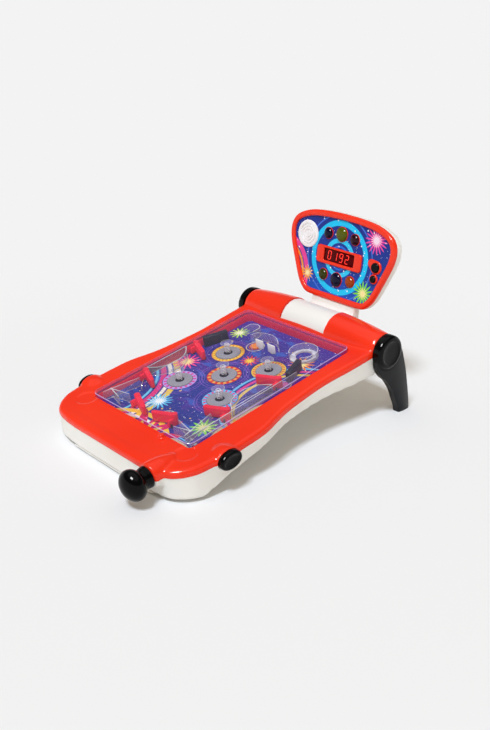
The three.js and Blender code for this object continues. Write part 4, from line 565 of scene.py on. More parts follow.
class Print(Finish):
    """Flat print on a plane of a place: across is its X axis, up is the axis whose number is given."""

    def __init__(self, name, place, second):
        super().__init__(name)
        inverse = in_metres(place).inverted()
        given = {"Vector": self.place, "Location": inverse.to_translation() / MM,
                 "Rotation": inverse.to_euler(), "Scale": (1 / MM,) * 3}
        axes = self.split(self.add("ShaderNodeMapping", given, vector_type="POINT").outputs[0])
        self.across = axes[0]
        self.up = axes[second]
        self.plane = self.join({0: self.across, 1: self.up})

    def ground(self, low, high, stops):
        """Colours from the low end of the print to its high one."""
        node = self.add("ShaderNodeValToRGB", {0: self.ramp(self.up, low, high)})
        elements = node.color_ramp.elements
        while len(elements) < len(stops):
            elements.new(0.5)
        for element, (place, colour) in zip(elements, stops):
            element.position = place
            element.color = rgb(colour)
        self.paint = node.outputs["Color"]

    def over(self, mask, colour):
        self.paint = self.mix(mask, self.paint, rgb(colour))

    def away(self, centre):
        return self.vector("DISTANCE", self.plane, (centre[0], centre[1], 0))

    def disc(self, centre, radius):
        return self.ramp(self.away(centre), radius + PRINT_SOFT, radius - PRINT_SOFT)

    def band(self, distance, radius, half):
        off = self.math("ABSOLUTE", self.math("SUBTRACT", distance, radius))
        return self.ramp(off, half + PRINT_SOFT, half - PRINT_SOFT)

    def wave(self, centre, count):
        """Rises and falls as it goes round a centre."""
        x = self.math("SUBTRACT", self.across, centre[0])
        y = self.math("SUBTRACT", self.up, centre[1])
        return self.math("SINE", self.math("MULTIPLY", self.math("ARCTAN2", y, x), count))

    def burst(self, centre, radius, points, depth=0.55):
        """Mask of a spiky burst."""
        wave = self.math("ABSOLUTE", self.wave(centre, points / 2))
        spikes = self.ramp(self.math("POWER", wave, 1.6), 0, 1, 1, 1 - depth)
        reach = self.math("MULTIPLY", spikes, radius)
        return self.ramp(self.math("SUBTRACT", self.away(centre), reach), 0.6, -0.6)

    def star(self, centre, radius, points, colour, heart, share):
        """A burst with a smaller one in its heart."""
        self.over(self.burst(centre, radius, points), colour)
        self.over(self.burst(centre, radius * share, points), heart)

    def rings(self, centre, bands):
        distance = self.away(centre)
        for radius, half, colour in bands:
            self.over(self.band(distance, radius, half), colour)

    def planet(self, centre, radius, colour, shadow):
        lit_side = (centre[0] - radius * 0.18, centre[1] + radius * 0.18)
        self.over(self.disc(centre, radius), shadow)
        self.over(self.disc(lit_side, radius * 0.8), colour)
        self.over(self.band(self.away(centre), radius * 1.35, 0.5), "f4e6b0")

    def cloud(self, scale, low, high, share, colour):
        drift = self.noise(self.vector("MULTIPLY", self.plane, (scale, scale * 1.8, 1)), 1.0, 2.0)
        self.over(self.math("MULTIPLY", self.ramp(drift, low, high, smooth=True), share), colour)

    def sparkle(self, spread, high, low, colour):
        spots = {"Vector": self.vector("MULTIPLY", self.plane, (spread, spread, 1)), "Scale": 1.0}
        distance = self.add("ShaderNodeTexVoronoi", spots).outputs["Distance"]
        self.over(self.ramp(distance, high, low), colour)

    def bumper_plate(self, centre, ring, teeth, count):
        """Round plate under a bumper: toothed ring, a metal middle painted with concentric light and dark
        rings of shine, and a near-black disc in the middle, the painted shade of the hole the spring stands
        in.
        """
        distance = self.away(centre)
        self.over(self.ramp(distance, 26.2, 25.6), "1a1f70")
        self.over(self.ramp(distance, 25.2, 24.6), ring)
        toothed = self.ramp(self.wave(centre, count), -0.1, 0.1)
        self.over(self.math("MULTIPLY", toothed, self.band(distance, 21.4, 2.2)), teeth)
        self.over(self.ramp(distance, 19.2, 18.8), "5c5c68")
        # Painted shine: the metal middle is painted in concentric light and dark bands.
        painted_shine_wave = self.ramp(self.math("SINE", self.math("MULTIPLY", distance, 2.4)), -1, 1)
        painted_ring_shine = self.math("ADD", 0.7, self.math("MULTIPLY", painted_shine_wave, 0.25))
        self.over(self.math("MULTIPLY", self.ramp(distance, 18.6, 18.2), painted_ring_shine), "a6a5ae")
        # Painted shade: a near-black disc where the hole of the spring lies.
        self.over(self.ramp(distance, 6.8, 6.4), "08080a")

    def printed(self, gloss):
        self.surface(self.paint, self.paint, gloss, 0.06, 0.03)
        return self.done(Specular_IOR_Level=0.25)


BOARD_GROUND = [(0.0, "1a2c86"), (0.35, "1d2f90"), (0.7, "2b2a8a"), (1.0, "3a2f9a")]
BOARD_CLOUDS = [(0.022, 0.5, 0.6, 0.8, "4a2a94"), (0.028, 0.56, 0.66, 0.75, "2f62c4")]
BOARD_RINGS = [
    ((-158, -64), [(126, 4.5, "f4cf3c"), (116, 3, "fbf7e6"), (106, 4, "e3327e"), (97, 2, "6fd0f4")]),
    ((196, 0), [(106, 11, "e9dcae"), (93, 1.5, "f2c85a")]),
    ((64, -158), [(72, 7.5, "efe3b4"), (61, 2, "f4c43a"), (84, 1, "5fc4ee")]),
    ((124, 66), [(96, 2, "6fc6f4"), (88, 2.5, "e8408e"), (79, 2.5, "f6d44a")]),
    ((-12.5, -152), [(88, 4, "f4c834"), (77, 2.5, "fdfaf0"), (68, 3.5, "f07a24")])]
BOARD_STARS = [
    ((6, -104), 62, 11, "d81f63", "f8dc4a"), ((-88, 60), 22, 14, "f23c92", "ffe9a0"),
    ((66, -40), 20, 12, "86e23c", "fdf6b0"), ((-36, -34), 20, 16, "59c8f6", "f4fbff"),
    ((58, 152), 20, 13, "f5861f", "fff0a0"), ((-88, 166), 16, 12, "b6e64a", "fbffd8"),
    ((-12, 116), 15, 12, "e8283c", "ffd84a")]
BOARD_PLANETS = [((-36, 150), 10, "f08a3a", "a84a24"), ((2, -50), 8, "59b6f0", "2a6aa8"),
                 ((78, 98), 7, "e05aa8", "8a2a7a")]
BOARD_SPARKLES = [(0.055, 0.085, "f6c860"), (0.12, 0.09, "f4f2ff"), (0.19, 0.08, "e79ad8")]
BUMPERS = [(-56, 19.8), (-56, 113.2), (-12.5, 66.5), (31, 19.8), (31, 113.2)]
BUMPER_PRINTS = [("c0a2f0", "e2409c", 18), ("f29a24", "ffe04a", 24), ("e2301c", "f8b04a", 16),
                 ("5fc0f6", "e84088", 20), ("f6d43a", "e2304a", 28)]


def board_material():
    """Print of the play board: night blue with rings, bursts, planets and a plate under each bumper."""
    board = Print("printed_play_board", DECK, 1)
    board.ground(-92, 204, BOARD_GROUND)
    for cloud in BOARD_CLOUDS:
        board.cloud(*cloud)
    for centre, bands in BOARD_RINGS:
        board.rings(centre, bands)
    for star in BOARD_STARS:
        board.star(*star, 0.55)
    for planet in BOARD_PLANETS:
        board.planet(*planet)
    for spread, size, colour in BOARD_SPARKLES:
        board.sparkle(spread, size + 0.02, size - 0.005, colour)
    for centre in BUMPERS:
        distance = board.away(centre)
        for radius in (32, 36):
            board.over(board.math("MULTIPLY", board.band(distance, radius, 0.35), 0.7), "9a6ad8")
    for centre, plate in zip(BUMPERS, BUMPER_PRINTS):
        board.bumper_plate(centre, *plate)
    return board.printed(0.25)


PANEL_GROUND = [(0.0, "0e55c8"), (0.35, "123a9c"), (1.0, "10288a")]
PANEL_RINGS = [
    ((0, 102), [(52, 4.2, "14ccff"), (64, 1.0, "3f74e0"), (26, 3.4, "2ad2ff"), (17, 1.6, "1f6fe0")]),
    ((-120, 60), [(58, 4, "f0449c"), (50, 2.0, "f8a03a")])]
PANEL_STARS = [((66, 142), 21, 18, "f04aa8", "ffe6f4"), ((54, 60), 19, 15, "7ee03a", "fdf7a8"),
               ((-60, 66), 12, 12, "f8b02e", "fff3b8")]
PANEL_SPARKLES = [(0.11, 0.15), (0.2, 0.12)]


def panel_material():
    """Print of the score head: night blue with rings, rays and sparkles."""
    panel = Print("printed_head_panel", HEAD, 2)
    panel.ground(40, 165, PANEL_GROUND)
    for centre, bands in PANEL_RINGS:
        panel.rings(centre, bands)
    for star in PANEL_STARS:
        panel.star(*star, 0.5)
    for spread, size in PANEL_SPARKLES:
        panel.sparkle(spread, size, size - 0.04, "ffffff")
    return panel.printed(0.2)


BOARD = board_material()
PANEL = panel_material()


# Case shells
CASE_SIDE = [(72, -148.5), (99, -146.5), (120, -142), (132, -133.1), (139.2, -123.5), (144.9, -111.4),
             (148.5, -88), (149.5, -55), (149, -16), (146.4, 4), (140.5, 25), (135.5, 47), (132, 80),
             (130, 113), (130.6, 140), (133, 166), (134.5, 203), (TUBE_HALF, TUBE_Y)]
CASE_STEPS = 130
TUBE_RADIUS = 33.5
TUBE_TAPER = 8.9
TUBE_STEPS = 60
TUBE_EDGE = 1.5
HOUSING = (98.5, 0, 6.2)
MOUTH_Y = -156.5
HOUSING_PROFILE = [(0, MOUTH_Y), (15.6, MOUTH_Y), (17, MOUTH_Y + 1.4), (17, -146), (16, -136), (13.6, -126),
                   (10.4, -116), (8, -108), (0, -108)]
BUTTON_Y = -70.2
BUTTON_H = 4.8
BUTTON_HALF = (17.2, 12.2)
HOOD = [(-4.4, 121), (-2.0, 128), (1.1, 134.5), (2.0, 142), (2.1, 150.6)]
BORE = [(0.4, 136), (0.4, 170)]
SHELL_H = 14
SHELL_EDGE = 5.5
EDGE_STEPS = 8
WINDOW_X = (-106, 103.8)
WINDOW_Y = (-91.5, 204)
LEDGE = 2.3
LEDGE_H = 11
COVER_X = (-108, 105.4)
COVER_Y = (-93.5, 205)
COVER_FOOT = 11.25
COVER_SHOULDER = 18.1
COVER_WALL = 1.6
COVER_RIM = 1.2
HUB_ROOM = 31.6
HUB_ROOM_HALF = 45.5
FLOOR_Z = 4.8
DRAFTS = [(5.8, FLOOR_Z), (3.5, FLOOR_Z + 0.8), (2.4, FLOOR_Z + 3), (0.4, 42), (0, 50), (0, 160)]
ARCH_FRONT_Y = -105
ARCH_BACK_Y = 205
ARCH_BACK_Z = 68
BACK_RISE = 7
BACK_LENGTH = 32.9
ARCH = ((ARCH_FRONT_Y, FLOOR_Z), (-20, 50), (60, 58), (ARCH_BACK_Y, ARCH_BACK_Z))
ARCH_STEP = 5
BASE_WALL = 2

# Hollows of the front apron: centre, half lengths, power of the outline, depth and softness of the rim
HOLLOWS = [((-14, -117), (100, 21), 4, 1.0, 1.1),
           ((-109, -103), (17, 17), 2, 1.3, 0.45),
           ((109, -103), (17, 17), 2, 1.3, 0.45)]
APRON_LOW = 9


def case_side():
    return spline(CASE_SIDE, CASE_STEPS)


def deck_outline():
    """Outline of the case on the slope of the deck."""
    return mirrored([(x, (y + SEAM_H * math.sin(SLOPE)) / math.cos(SLOPE)) for x, y in case_side()])


def tube_profile():
    """Rear cross tube, thickest in the middle, with the edges of its ends broken."""
    rings = [TUBE_HALF * (2 * i / TUBE_STEPS - 1) for i in range(TUBE_STEPS + 1)]
    surface = [(TUBE_RADIUS - TUBE_TAPER * (abs(x) / TUBE_HALF) ** 2.3, x) for x in rings]
    surface[0] = (surface[0][0] - TUBE_EDGE, -TUBE_HALF)
    surface[-1] = (surface[-1][0] - TUBE_EDGE, TUBE_HALF)
    return [(0, -TUBE_HALF)] + surface + [(0, TUBE_HALF)]


def ovals(bm, side, steps):
    """Lofts an oval on a button's axis; a step gives how much it grows and how far out it lies."""
    loops = []
    for grow, x in steps:
        wide, tall = BUTTON_HALF[0] + grow, BUTTON_HALF[1] + grow
        loop = [(BUTTON_Y + wide * math.cos(a), BUTTON_H + tall * math.sin(a)) for a in angles(64)]
        loops.append(along_x(loop, side * x))
    loft(bm, loops)


def housing_and_hoods(bm):
    """Half-round plunger housing that sinks into the apron, and the hood round each button."""
    turn(bm, HOUSING_PROFILE, "y", HOUSING, SPIN_SMALL)
    for side in (-1, 1):
        ovals(bm, side, HOOD)


def button_bores():
    bm = bmesh.new()
    for side in (-1, 1):
        ovals(bm, side, BORE)
    return object_of(bm, "bore_cutter", DECK)


def soft_step(value):
    t = min(max(value, 0.0), 1.0)
    return t * t * (3 - 2 * t)


def press_hollows(shell):
    """Presses the shallow hollows of the front apron into the shell."""
    to_deck = DECK.inverted()
    for vertex in shell.data.vertices:
        x, y, h = to_deck @ (vertex.co / MM)
        if h < APRON_LOW:
            continue
        drop = 0.0
        for centre, half, power, depth, softness in HOLLOWS:
            inside = 1 - abs((x - centre[0]) / half[0]) ** power - abs((y - centre[1]) / half[1]) ** power
            drop = max(drop, depth * soft_step(inside / softness))
        raised = soft_step((h - SHELL_H) / 4)
        vertex.co -= DECK_UP * drop * (1 - raised) * MM
    return shell


def window_cutter():
    """Opening over the board, with a wider ledge on top for the cover."""
    hole = rounded(WINDOW_X, WINDOW_Y, 8)
    wider = [(low - LEDGE, high + LEDGE) for low, high in (WINDOW_X, WINDOW_Y)]
    ledge = rounded(*wider, 10.3)
    loops = [along_z(hole, -30), along_z(hole, LEDGE_H), along_z(ledge, LEDGE_H + 0.01), along_z(ledge, 40)]
    return lofted("window_cutter", DECK, loops)


def hub_cutter():
    """Room for the score head's hub and neck between the two halves of the tube."""
    loop = arc((TUBE_DECK_Y, TUBE_DECK_H), HUB_ROOM, math.radians(162), math.radians(278), 29)
    loop += [(320, -60), (320, 90), (212.5, 90), (212.5, 14.3)]
    return lofted("hub_cutter", DECK, [along_x(loop, x) for x in (-HUB_ROOM_HALF, HUB_ROOM_HALF)])


def top_shell():
    """Red upper case: rounded deck, tube, plunger housing and hoods in one skin, cut at the seam."""
    bm = bmesh.new()
    steps = [(0, -8), (0, SHELL_H - SHELL_EDGE)]
    for i in range(1, EDGE_STEPS + 1):
        angle = i / EDGE_STEPS * math.pi / 2
        steps.append((SHELL_EDGE * (1 - math.cos(angle)), SHELL_H + SHELL_EDGE * (math.sin(angle) - 1)))
    loft(bm, tiers(deck_outline(), steps, along_z))
    turn(bm, tube_profile(), "x", (0, TUBE_DECK_Y, TUBE_DECK_H), SPIN_LARGE)
    housing_and_hoods(bm)
    shell = press_hollows(moulded(object_of(bm, "shell_top", DECK), voxel=1.5, rounds=10))
    for cutter in (window_cutter(), hub_cutter(), button_bores()):
        shell = carved(shell, cutter)
    return sliced(shell, SEAM_H + SEAM_GAP, -DECK_UP)


def locking_peg():
    """Small peg in front of the cover."""
    profile = [(0, 12), (5.2, 12), (5.2, 14.6), (4.6, 15.4), (3.9, 15.8), (3.7, 18.4), (2.9, 19.3),
               (0, 19.5)]
    return turned("peg_red", DECK, profile, "z", (56, -99.6, 0), 32)


def arch_height(y):
    """Height of the underside at a place along the case."""
    def curve(t):
        weights = ((1 - t) ** 3, 3 * t * (1 - t) ** 2, 3 * t * t * (1 - t), t ** 3)
        return [sum(w * p[k] for w, p in zip(weights, ARCH)) for k in (0, 1)]
    if y <= ARCH_FRONT_Y:
        return FLOOR_Z
    if y >= ARCH_BACK_Y:
        return ARCH_BACK_Z + BACK_RISE * ((y - ARCH_BACK_Y) / BACK_LENGTH) ** 1.5
    low, high = 0.0, 1.0
    for _ in range(30):
        middle = (low + high) / 2
        low, high = (middle, high) if curve(middle)[0] < y else (low, middle)
    return curve(low)[1]


def arch_cutter():
    """Room under the arched floor of the case."""
    arch = [(y, arch_height(y)) for y in range(ARCH_FRONT_Y, 300, ARCH_STEP)]
    loop = [(-140, -60), (-140, FLOOR_Z)] + arch + [(arch[-1][0], -60)]
    return lofted("arch_cutter", LEVEL, [along_x(loop, x) for x in (-220, 220)])


def base_shell():
    """White lower case: drafted sides over the arch, tube, plunger housing and hoods, cut at the seam."""
    slab = lofted("slab", LEVEL, tiers(mirrored(case_side()), DRAFTS, along_z))
    slab = carved(slab, arch_cutter())
    tube = turned("shell_base", LEVEL, tube_profile(), "x", (0, TUBE_Y, TUBE_Z), SPIN_LARGE)
    bm = bmesh.new()
    housing_and_hoods(bm)
    whole = joined(tube, slab, object_of(bm, "housing_half", DECK))
    shell = moulded(whole, voxel=1.9, rounds=5)
    shell = sliced(carved(shell, button_bores()), SEAM_H - SEAM_GAP, DECK_UP)
    wall = shell.modifiers.new("wall", "SOLIDIFY")
    wall.thickness = BASE_WALL * MM
    wall.offset = -1
    return settle(shell)


def well_wall():
    """Inner wall of the well and the ledge that the cover stands on."""
    inner = rounded((-105.95, 103.75), (-91.45, 203.95), 8)
    outer = rounded((-107.6, 105.4), (-93.1, 205.6), 9.6)
    loops = tiers(inner, [(0, -4.2), (0, LEDGE_H - 0.4), (-0.4, LEDGE_H)], along_z)
    loops += [along_z(outer, LEDGE_H), along_z(outer, -4.2)]
    return lofted("well_wall", DECK, loops, ring=True)


def clear_cover():
    """Shallow clear lid: ceiling and wall inside, wall and rounded rim outside."""
    steps = [(COVER_WALL, COVER_SHOULDER), (COVER_WALL, COVER_FOOT), (0, COVER_FOOT), (0, COVER_SHOULDER)]
    for angle in (math.pi / 8 * i for i in range(1, 5)):
        steps.append((COVER_RIM * (1 - math.cos(angle)), COVER_SHOULDER + COVER_RIM * math.sin(angle)))
    return lofted("cover_clear", DECK, tiers(rounded(COVER_X, COVER_Y, 10, 10), steps, along_z))


dress(top_shell(), "case", RED, "top_shell", angle=40)
dress(locking_peg(), "case", RED, angle=50)
dress(well_wall(), "case", WELL_RED, angle=50)
dress(base_shell(), "case", WHITE, "base_shell", angle=40)
dress(clear_cover(), "case", COVER, "clear_cover", angle=50)


# Plunger, buttons and legs
KNOB_RADIUS = 20.9
KNOB_HALF = 15.25
KNOB_NECK = 14.0
KNOB_Y = -179.5
KNOB_FLARE = [(13.7, -167.6), (13.8, -164.2), (14.1, -162.6), (13.8, -162.3), (13.8, -161.9), (14.2, -161.6),
              (14.5, -159.5), (14.6, -158.3), (14.6, -157.4), (14.2, -157.0), (0, -157.0)]
BUTTON_CAP = [(-1.2, 146.5), (0, 147.6), (0, 155.2), (-0.4, 156.7), (-1.3, 157.9), (-2.5, 158.45),
              (-3.6, 158.5), (-4.5, 158.2), (-5.5, 157.5), (-8, 157.0)]
BUTTON_STEM = [(0, 127.3), (5, 127.3), (5, 148), (0, 148)]
LEG_DRUM = [(0, 135.3), (25.5, 135.3), (25.5, 142.5), (25.2, 144.6), (24.4, 146.3), (23, 147.7), (21, 148.6),
            (18.6, 148.9), (17.4, 148.7), (16.6, 148.1), (15.4, 147.8), (8, 147.7), (0, 147.7)]
LEG_FRONT = [(212.6, 99), (213.4, 88), (217.5, 77), (225.5, 66.5), (236, 57.5), (248.5, 40.6), (257.5, 21.9),
             (263.5, 9), (265.5, 0)]
LEG_REAR = [(250.5, 118.7), (263, 106), (271, 88), (279, 62), (284.5, 36.5), (288.5, 14), (289.5, 0)]
LEG_STEPS = 30
LEG_INNER_X = 136
LEG_OUTER_X = 147.5
CREST_LOW = Vector((277, 0))
CREST_HIGH = Vector((243, 92))
CREST_FALL = 5.5
CREST_REACH = 60


def knob():
    """Plunger knob: a ball whose neck widens to a flared collar."""
    neck_angle = math.asin(KNOB_NECK / KNOB_RADIUS)
    profile = [(KNOB_RADIUS * math.sin(a), KNOB_Y - KNOB_HALF * math.cos(a))
               for a in ((math.pi - neck_angle) * i / 40 for i in range(41))]
    profile[0] = (0, profile[0][1])
    return turned("knob_black", DECK, profile + KNOB_FLARE, "y", HOUSING, SPIN_MIDDLE)


def oval_button(side, word):
    bm = bmesh.new()
    ovals(bm, side, BUTTON_CAP)
    turn(bm, [(radius, side * x) for radius, x in BUTTON_STEM], "x", (0, BUTTON_Y, BUTTON_H), 24)
    return object_of(bm, "button_" + word, DECK)


def leg(side, word):
    """Leg below a drum over the tube's end, with a crest down its outer face."""
    bm = bmesh.new()
    turn(bm, [(radius, side * x) for radius, x in LEG_DRUM], "x", (0, TUBE_Y, TUBE_Z), SPIN_MIDDLE)
    along = (CREST_HIGH - CREST_LOW).normalized()
    across = Vector((along.y, -along.x))

    def outer(point, drop=0.0):
        fall = CREST_FALL * abs((point - CREST_LOW).dot(across)) / CREST_REACH
        return side * (LEG_OUTER_X - drop - fall)

    loops = []
    for ends in zip(spline(LEG_FRONT, LEG_STEPS), spline(LEG_REAR, LEG_STEPS)):
        f, r = (Vector(end) for end in ends)
        share = (CREST_LOW - f).dot(across) / max((r - f).dot(across), 1e-6)
        crest = f.lerp(r, min(max(share, 0.15), 0.85))
        loops.append([(side * LEG_INNER_X, *f), (outer(f, 1.0), *f), (outer(f), *f.lerp(r, 0.06)),
                      (outer(crest), *crest),
                      (outer(r), *r.lerp(f, 0.06)), (outer(r, 1.0), *r), (side * LEG_INNER_X, *r)])
    loft(bm, loops)
    return object_of(bm, "leg_" + word + "_black", LEVEL)


dress(knob(), "plunger", BLACK, "plunger_knob")
for side, word in ((-1, "left"), (1, "right")):
    dress(oval_button(side, word), "button_" + word, BLACK, "button_cap_" + word, angle=50)
    dress(leg(side, word), "case", LEG_BLACK, "leg_" + word, angle=30)


# Score head
HEAD_SIDE = [(44, 35.2), (56, 36.2), (65, 40.6), (76.5, 54), (90, 83), (101, 110), (104.3, 129),
             (100.4, 144), (89.5, 154.8), (68, 163.2), (45, 166.7), (22, 168.2)]
HEAD_TOP = (0, 168.6)
HEAD_STEPS = 220
HEAD_BACK = [(0.2, 37.2), (0, 45.6), (0.4, 47.2), (1.6, 48.5), (3.4, 49.05), (6, 49.15)]
NECK = [(20, 12.5), (41, 12.5), (44, 14), (46, 18), (46, 46), (37.3, 46), (37.3, 35.1), (33, 35.1), (33, 28),
        (26, 18)]
NECK_HALF = 44
HUB = [(0, -45), (31.2, -45), (31.2, 45), (0, 45)]
BEZEL = [(0.1, 37), (0, 36.6), (0, 34.2), (0.5, 32.7), (1.5, 31.6), (2.9, 31.05), (4.2, 31), (7.4, 31),
         (8.3, 31.3), (9.0, 32.1), (9.3, 33.2), (9.3, 37)]


def head_outline():
    """Outline of the score head from its lower right corner round to its lower left one."""
    return spline(mirrored(HEAD_SIDE, [HEAD_TOP]), HEAD_STEPS)


def head_case():
    """White back of the head, with its neck and hinge hub in one skin."""
    bm = bmesh.new()
    loft(bm, tiers(head_outline(), HEAD_BACK, along_y))
    loft(bm, [along_x(NECK, -NECK_HALF), along_x(NECK, NECK_HALF)])
    turn(bm, HUB, "x", (0, 0, 0), SPIN_LARGE)
    return moulded(object_of(bm, "case_head", HEAD), voxel=1.3, rounds=3)


def head_bezel():
    return lofted("bezel_ring", HEAD, tiers(head_outline(), BEZEL, along_y), ring=True)


def head_panel():
    return lofted("panel_print", HEAD, tiers(head_outline(), [(9.2, 36.5), (9.2, 34)], along_y))


def display_frame():
    outer = rounded((-44.5, 44.5), (88.4, 115.4), 5)
    inner = rounded((-30.2, 30.2), (93.2, 112.1), 2)
    loops = tiers(outer, [(0, 35), (0, 32.6), (0.4, 32), (1.2, 31.65)], along_y)
    loops += tiers(inner, [(-1.2, 31.65), (-0.3, 32.0), (0, 32.8), (0, 35)], along_y)
    return lofted("display_frame", HEAD, loops, ring=True)


def display_pane():
    loop = rounded((-30, 30), (93.4, 111.9), 2)
    return lofted("display_pane", HEAD, tiers(loop, [(0, 36.8), (0, 33.5), (0.4, 33.2)], along_y))


FIGURES = "0192"
SEGMENTS = {"0": "abcdef", "1": "bc", "2": "abged", "9": "abcdfg"}
BARS = {"a": ((0, 1), (1, 1)), "b": ((1, 1), (1, 0.5)), "c": ((1, 0.5), (1, 0)), "d": ((0, 0), (1, 0)),
        "e": ((0, 0.5), (0, 0)), "f": ((0, 1), (0, 0.5)), "g": ((0, 0.5), (1, 0.5))}
FIGURE_PITCH = 11.6
FIGURE_LEFT = -22.2
FIGURE_LOW = 96.4
FIGURE_WIDE = 5.8
FIGURE_TALL = 12.6
FIGURE_SLANT = 0.08
BAR_HALF = 0.5
BAR_GAP = 0.75


def display_digits():
    """Lit seven-segment figures behind the window's face."""
    bm = bmesh.new()
    for index, figure in enumerate(FIGURES):
        left = FIGURE_LEFT + index * FIGURE_PITCH
        for key in SEGMENTS[figure]:
            ends = [(left + FIGURE_WIDE * x, FIGURE_TALL * z) for x, z in BARS[key]]
            a, b = (Vector((x + z * FIGURE_SLANT, FIGURE_LOW + z)) for x, z in ends)
            way = (b - a).normalized()
            side = Vector((-way.y, way.x)) * BAR_HALF
            a, b = a + way * BAR_GAP, b - way * BAR_GAP
            loop = [a - way * BAR_HALF, a - side, b - side, b + way * BAR_HALF, b + side, a + side]
            loft(bm, [along_y(loop, 33.2), along_y(loop, 33.0)])
    return object_of(bm, "display_figures", HEAD)


def round_rim(name, x, z, inner, outer):
    profile = [(inner, 34.2), (inner, 33.1), (inner + 0.3, 32.7), (outer - 0.4, 32.7), (outer, 33.1),
               (outer, 34.2), (inner, 34.2)]
    return turned(name, HEAD, profile, "y", (x, 0, z), SPIN_SMALL)


def dome(name, x, z, radius):
    profile = [(0, 36.5), (radius, 36.5)]
    for angle in (math.pi / 2 * i / 12 for i in range(12)):
        profile.append((radius * math.cos(angle), 33 - 4.4 * math.sin(angle)))
    return turned(name, HEAD, profile + [(0, 28.6)], "y", (x, 0, z), SPIN_SMALL)


def speaker():
    """Round grille with three raised rings."""
    profile = [(0, 32.6)]
    for radius in (6, 10.5, 15):
        profile += [(radius - 0.9, 32.6), (radius - 0.7, 33.9), (radius + 0.7, 33.9), (radius + 0.9, 32.6)]
    profile += [(19.6, 32.6), (20.6, 32.9), (21, 33.5), (21, 34.1), (0, 34.1)]
    return turned("speaker_disc", HEAD, profile, "y", (-68, 0, 126), SPIN_MIDDLE)


def raised_pad(name, top, foot, radii):
    """Red surround that stands round a key."""
    way = Vector(foot) - Vector(top)
    outline = capsule(radii[0], radii[1], way.length, math.atan2(way.y, way.x))
    loop = [(x + top[0], z + top[1]) for x, z in outline]
    return lofted(name, HEAD, tiers(loop, [(0, 35), (0, 33), (0.5, 32.2), (1.4, 31.8)], along_y))


def key(name, x, z, radius):
    profile = [(0, 38), (radius + 1.2, 38), (radius + 1.2, 37.3), (radius, 37.3), (radius, 30.8),
               (radius - 0.4, 30.0), (radius - 1.2, 29.6), (radius - 2.6, 29.8), (0, 30.3)]
    return turned(name, HEAD, profile, "y", (x, 0, z), SPIN_SMALL)


START_KEY = (72.6, 103.5)
START_PAD = (63.1, 108)
MODE_KEY = (71.1, 86.1)
MODE_PAD = (70.1, 86.1)
DOMES = [("one", -26.3, 135, 8.2, "0a0628"), ("two", 0, 138, 10.6, "545c04"),
         ("three", 26.3, 135, 8.2, "2c0414"), ("four", -27.1, 71.5, 8.2, "353a06"),
         ("five", 0, 68.4, 10.6, "0c0a2c"), ("six", 27.1, 71.5, 8.2, "a0400a")]

dress(head_case(), "head", WHITE, "head_case", angle=50)
dress(head_bezel(), "head", RED, "head_bezel", angle=50)
dress(head_panel(), "head", PANEL, "head_panel", angle=50)
dress(display_frame(), "head", RED, angle=50)
dress(display_pane(), "head", WINDOW, "display_window", angle=50)
dress(display_digits(), "head", DIGITS)
dress(speaker(), "head", WHITE_GLOSS, "speaker_grille", angle=30)
dress(raised_pad("start_surround", START_KEY, START_PAD, (10, 6.4)), "head", RED, angle=50)
dress(raised_pad("mode_surround", MODE_KEY, MODE_PAD, (7.4, 6.8)), "head", RED, angle=50)
dress(key("key_start", *START_KEY, 7.4), "start_key", BLACK, "start_button", angle=50)
dress(key("key_mode", *MODE_KEY, 5.4), "mode_key", BLACK, "mode_button", angle=50)
for word, x, z, radius, colour in DOMES:
    tinted = plastic("lamp_dome_" + word, colour, colour, 0.06, 0.04, 0.02, 0.2)
    lens = dress(dome("lamp_" + word, x, z, radius), "head", tinted, angle=50)
    dress(round_rim("lamp_rim_" + word, x, z, radius + 0.15, radius + 0.8), "head", RED, angle=50)
    if word == "one":
        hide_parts("lamp_lens")


# Play field
COIL_TURNS = 6
COIL_STEPS = 24
COIL_LOW = 1.8
COIL_HIGH = 16.4
COIL_RADIUS = 3.5
COIL_WIRE = 0.5
CAP = [(0, -1.8), (2.6, -1.8), (2.6, 10.5), (3.2, 11.3), (9.2, 16.7), (9.5, 17.2), (9.3, 17.7), (8.9, 17.8),
       (8.3, 17.6), (3.2, 12.7), (0, 12.4)]
WIRE_PATH = [(-91, -12, 0.2), (-90.6, -12.6, 6), (-87.4, -17, 10.4), (-82.6, -24, 11.4), (-78, -30.6, 9.6),
             (-76.4, -33, 5.4), (-76.2, -33.3, 0.2)]
WIRE_RADIUS = 0.65
CLEAR_NODES = ["guide_hood", "guide_arch", "guide_left", "guide_right", "guide_front_left",
               "guide_front_right", "vortex_cup", "lane_wall"]


def bumper_spring(name, place):
    rings = []
    rise = Vector((0, 0, 1))
    steps = COIL_TURNS * COIL_STEPS
    for i in range(steps + 1):
        angle = 2 * math.pi * i / COIL_STEPS
        x = place[0] + COIL_RADIUS * math.cos(angle)
        y = place[1] + COIL_RADIUS * math.sin(angle)
        middle = Vector((x, y, COIL_LOW + (COIL_HIGH - COIL_LOW) * i / steps))
        out = Vector((math.cos(angle), math.sin(angle), 0))
        rings.append([tuple(middle + out * COIL_WIRE * math.cos(a) + rise * COIL_WIRE * math.sin(a))
                      for a in angles(8)])
    return lofted(name, DECK, rings)


def wire_loop():
    """Bent wire that stands on the board between the left flippers."""
    centres = [Vector(point) for point in WIRE_PATH]
    across = Vector((0.83, 0.56, 0))
    rings = []
    for index, middle in enumerate(centres):
        ahead = (centres[min(index + 1, len(centres) - 1)] - centres[max(index - 1, 0)]).normalized()
        out = ahead.cross(across).normalized()
        rings.append([tuple(middle + (across * math.cos(a) + out * math.sin(a)) * WIRE_RADIUS)
                      for a in angles(10)])
    return lofted("wire_loop", DECK, rings)


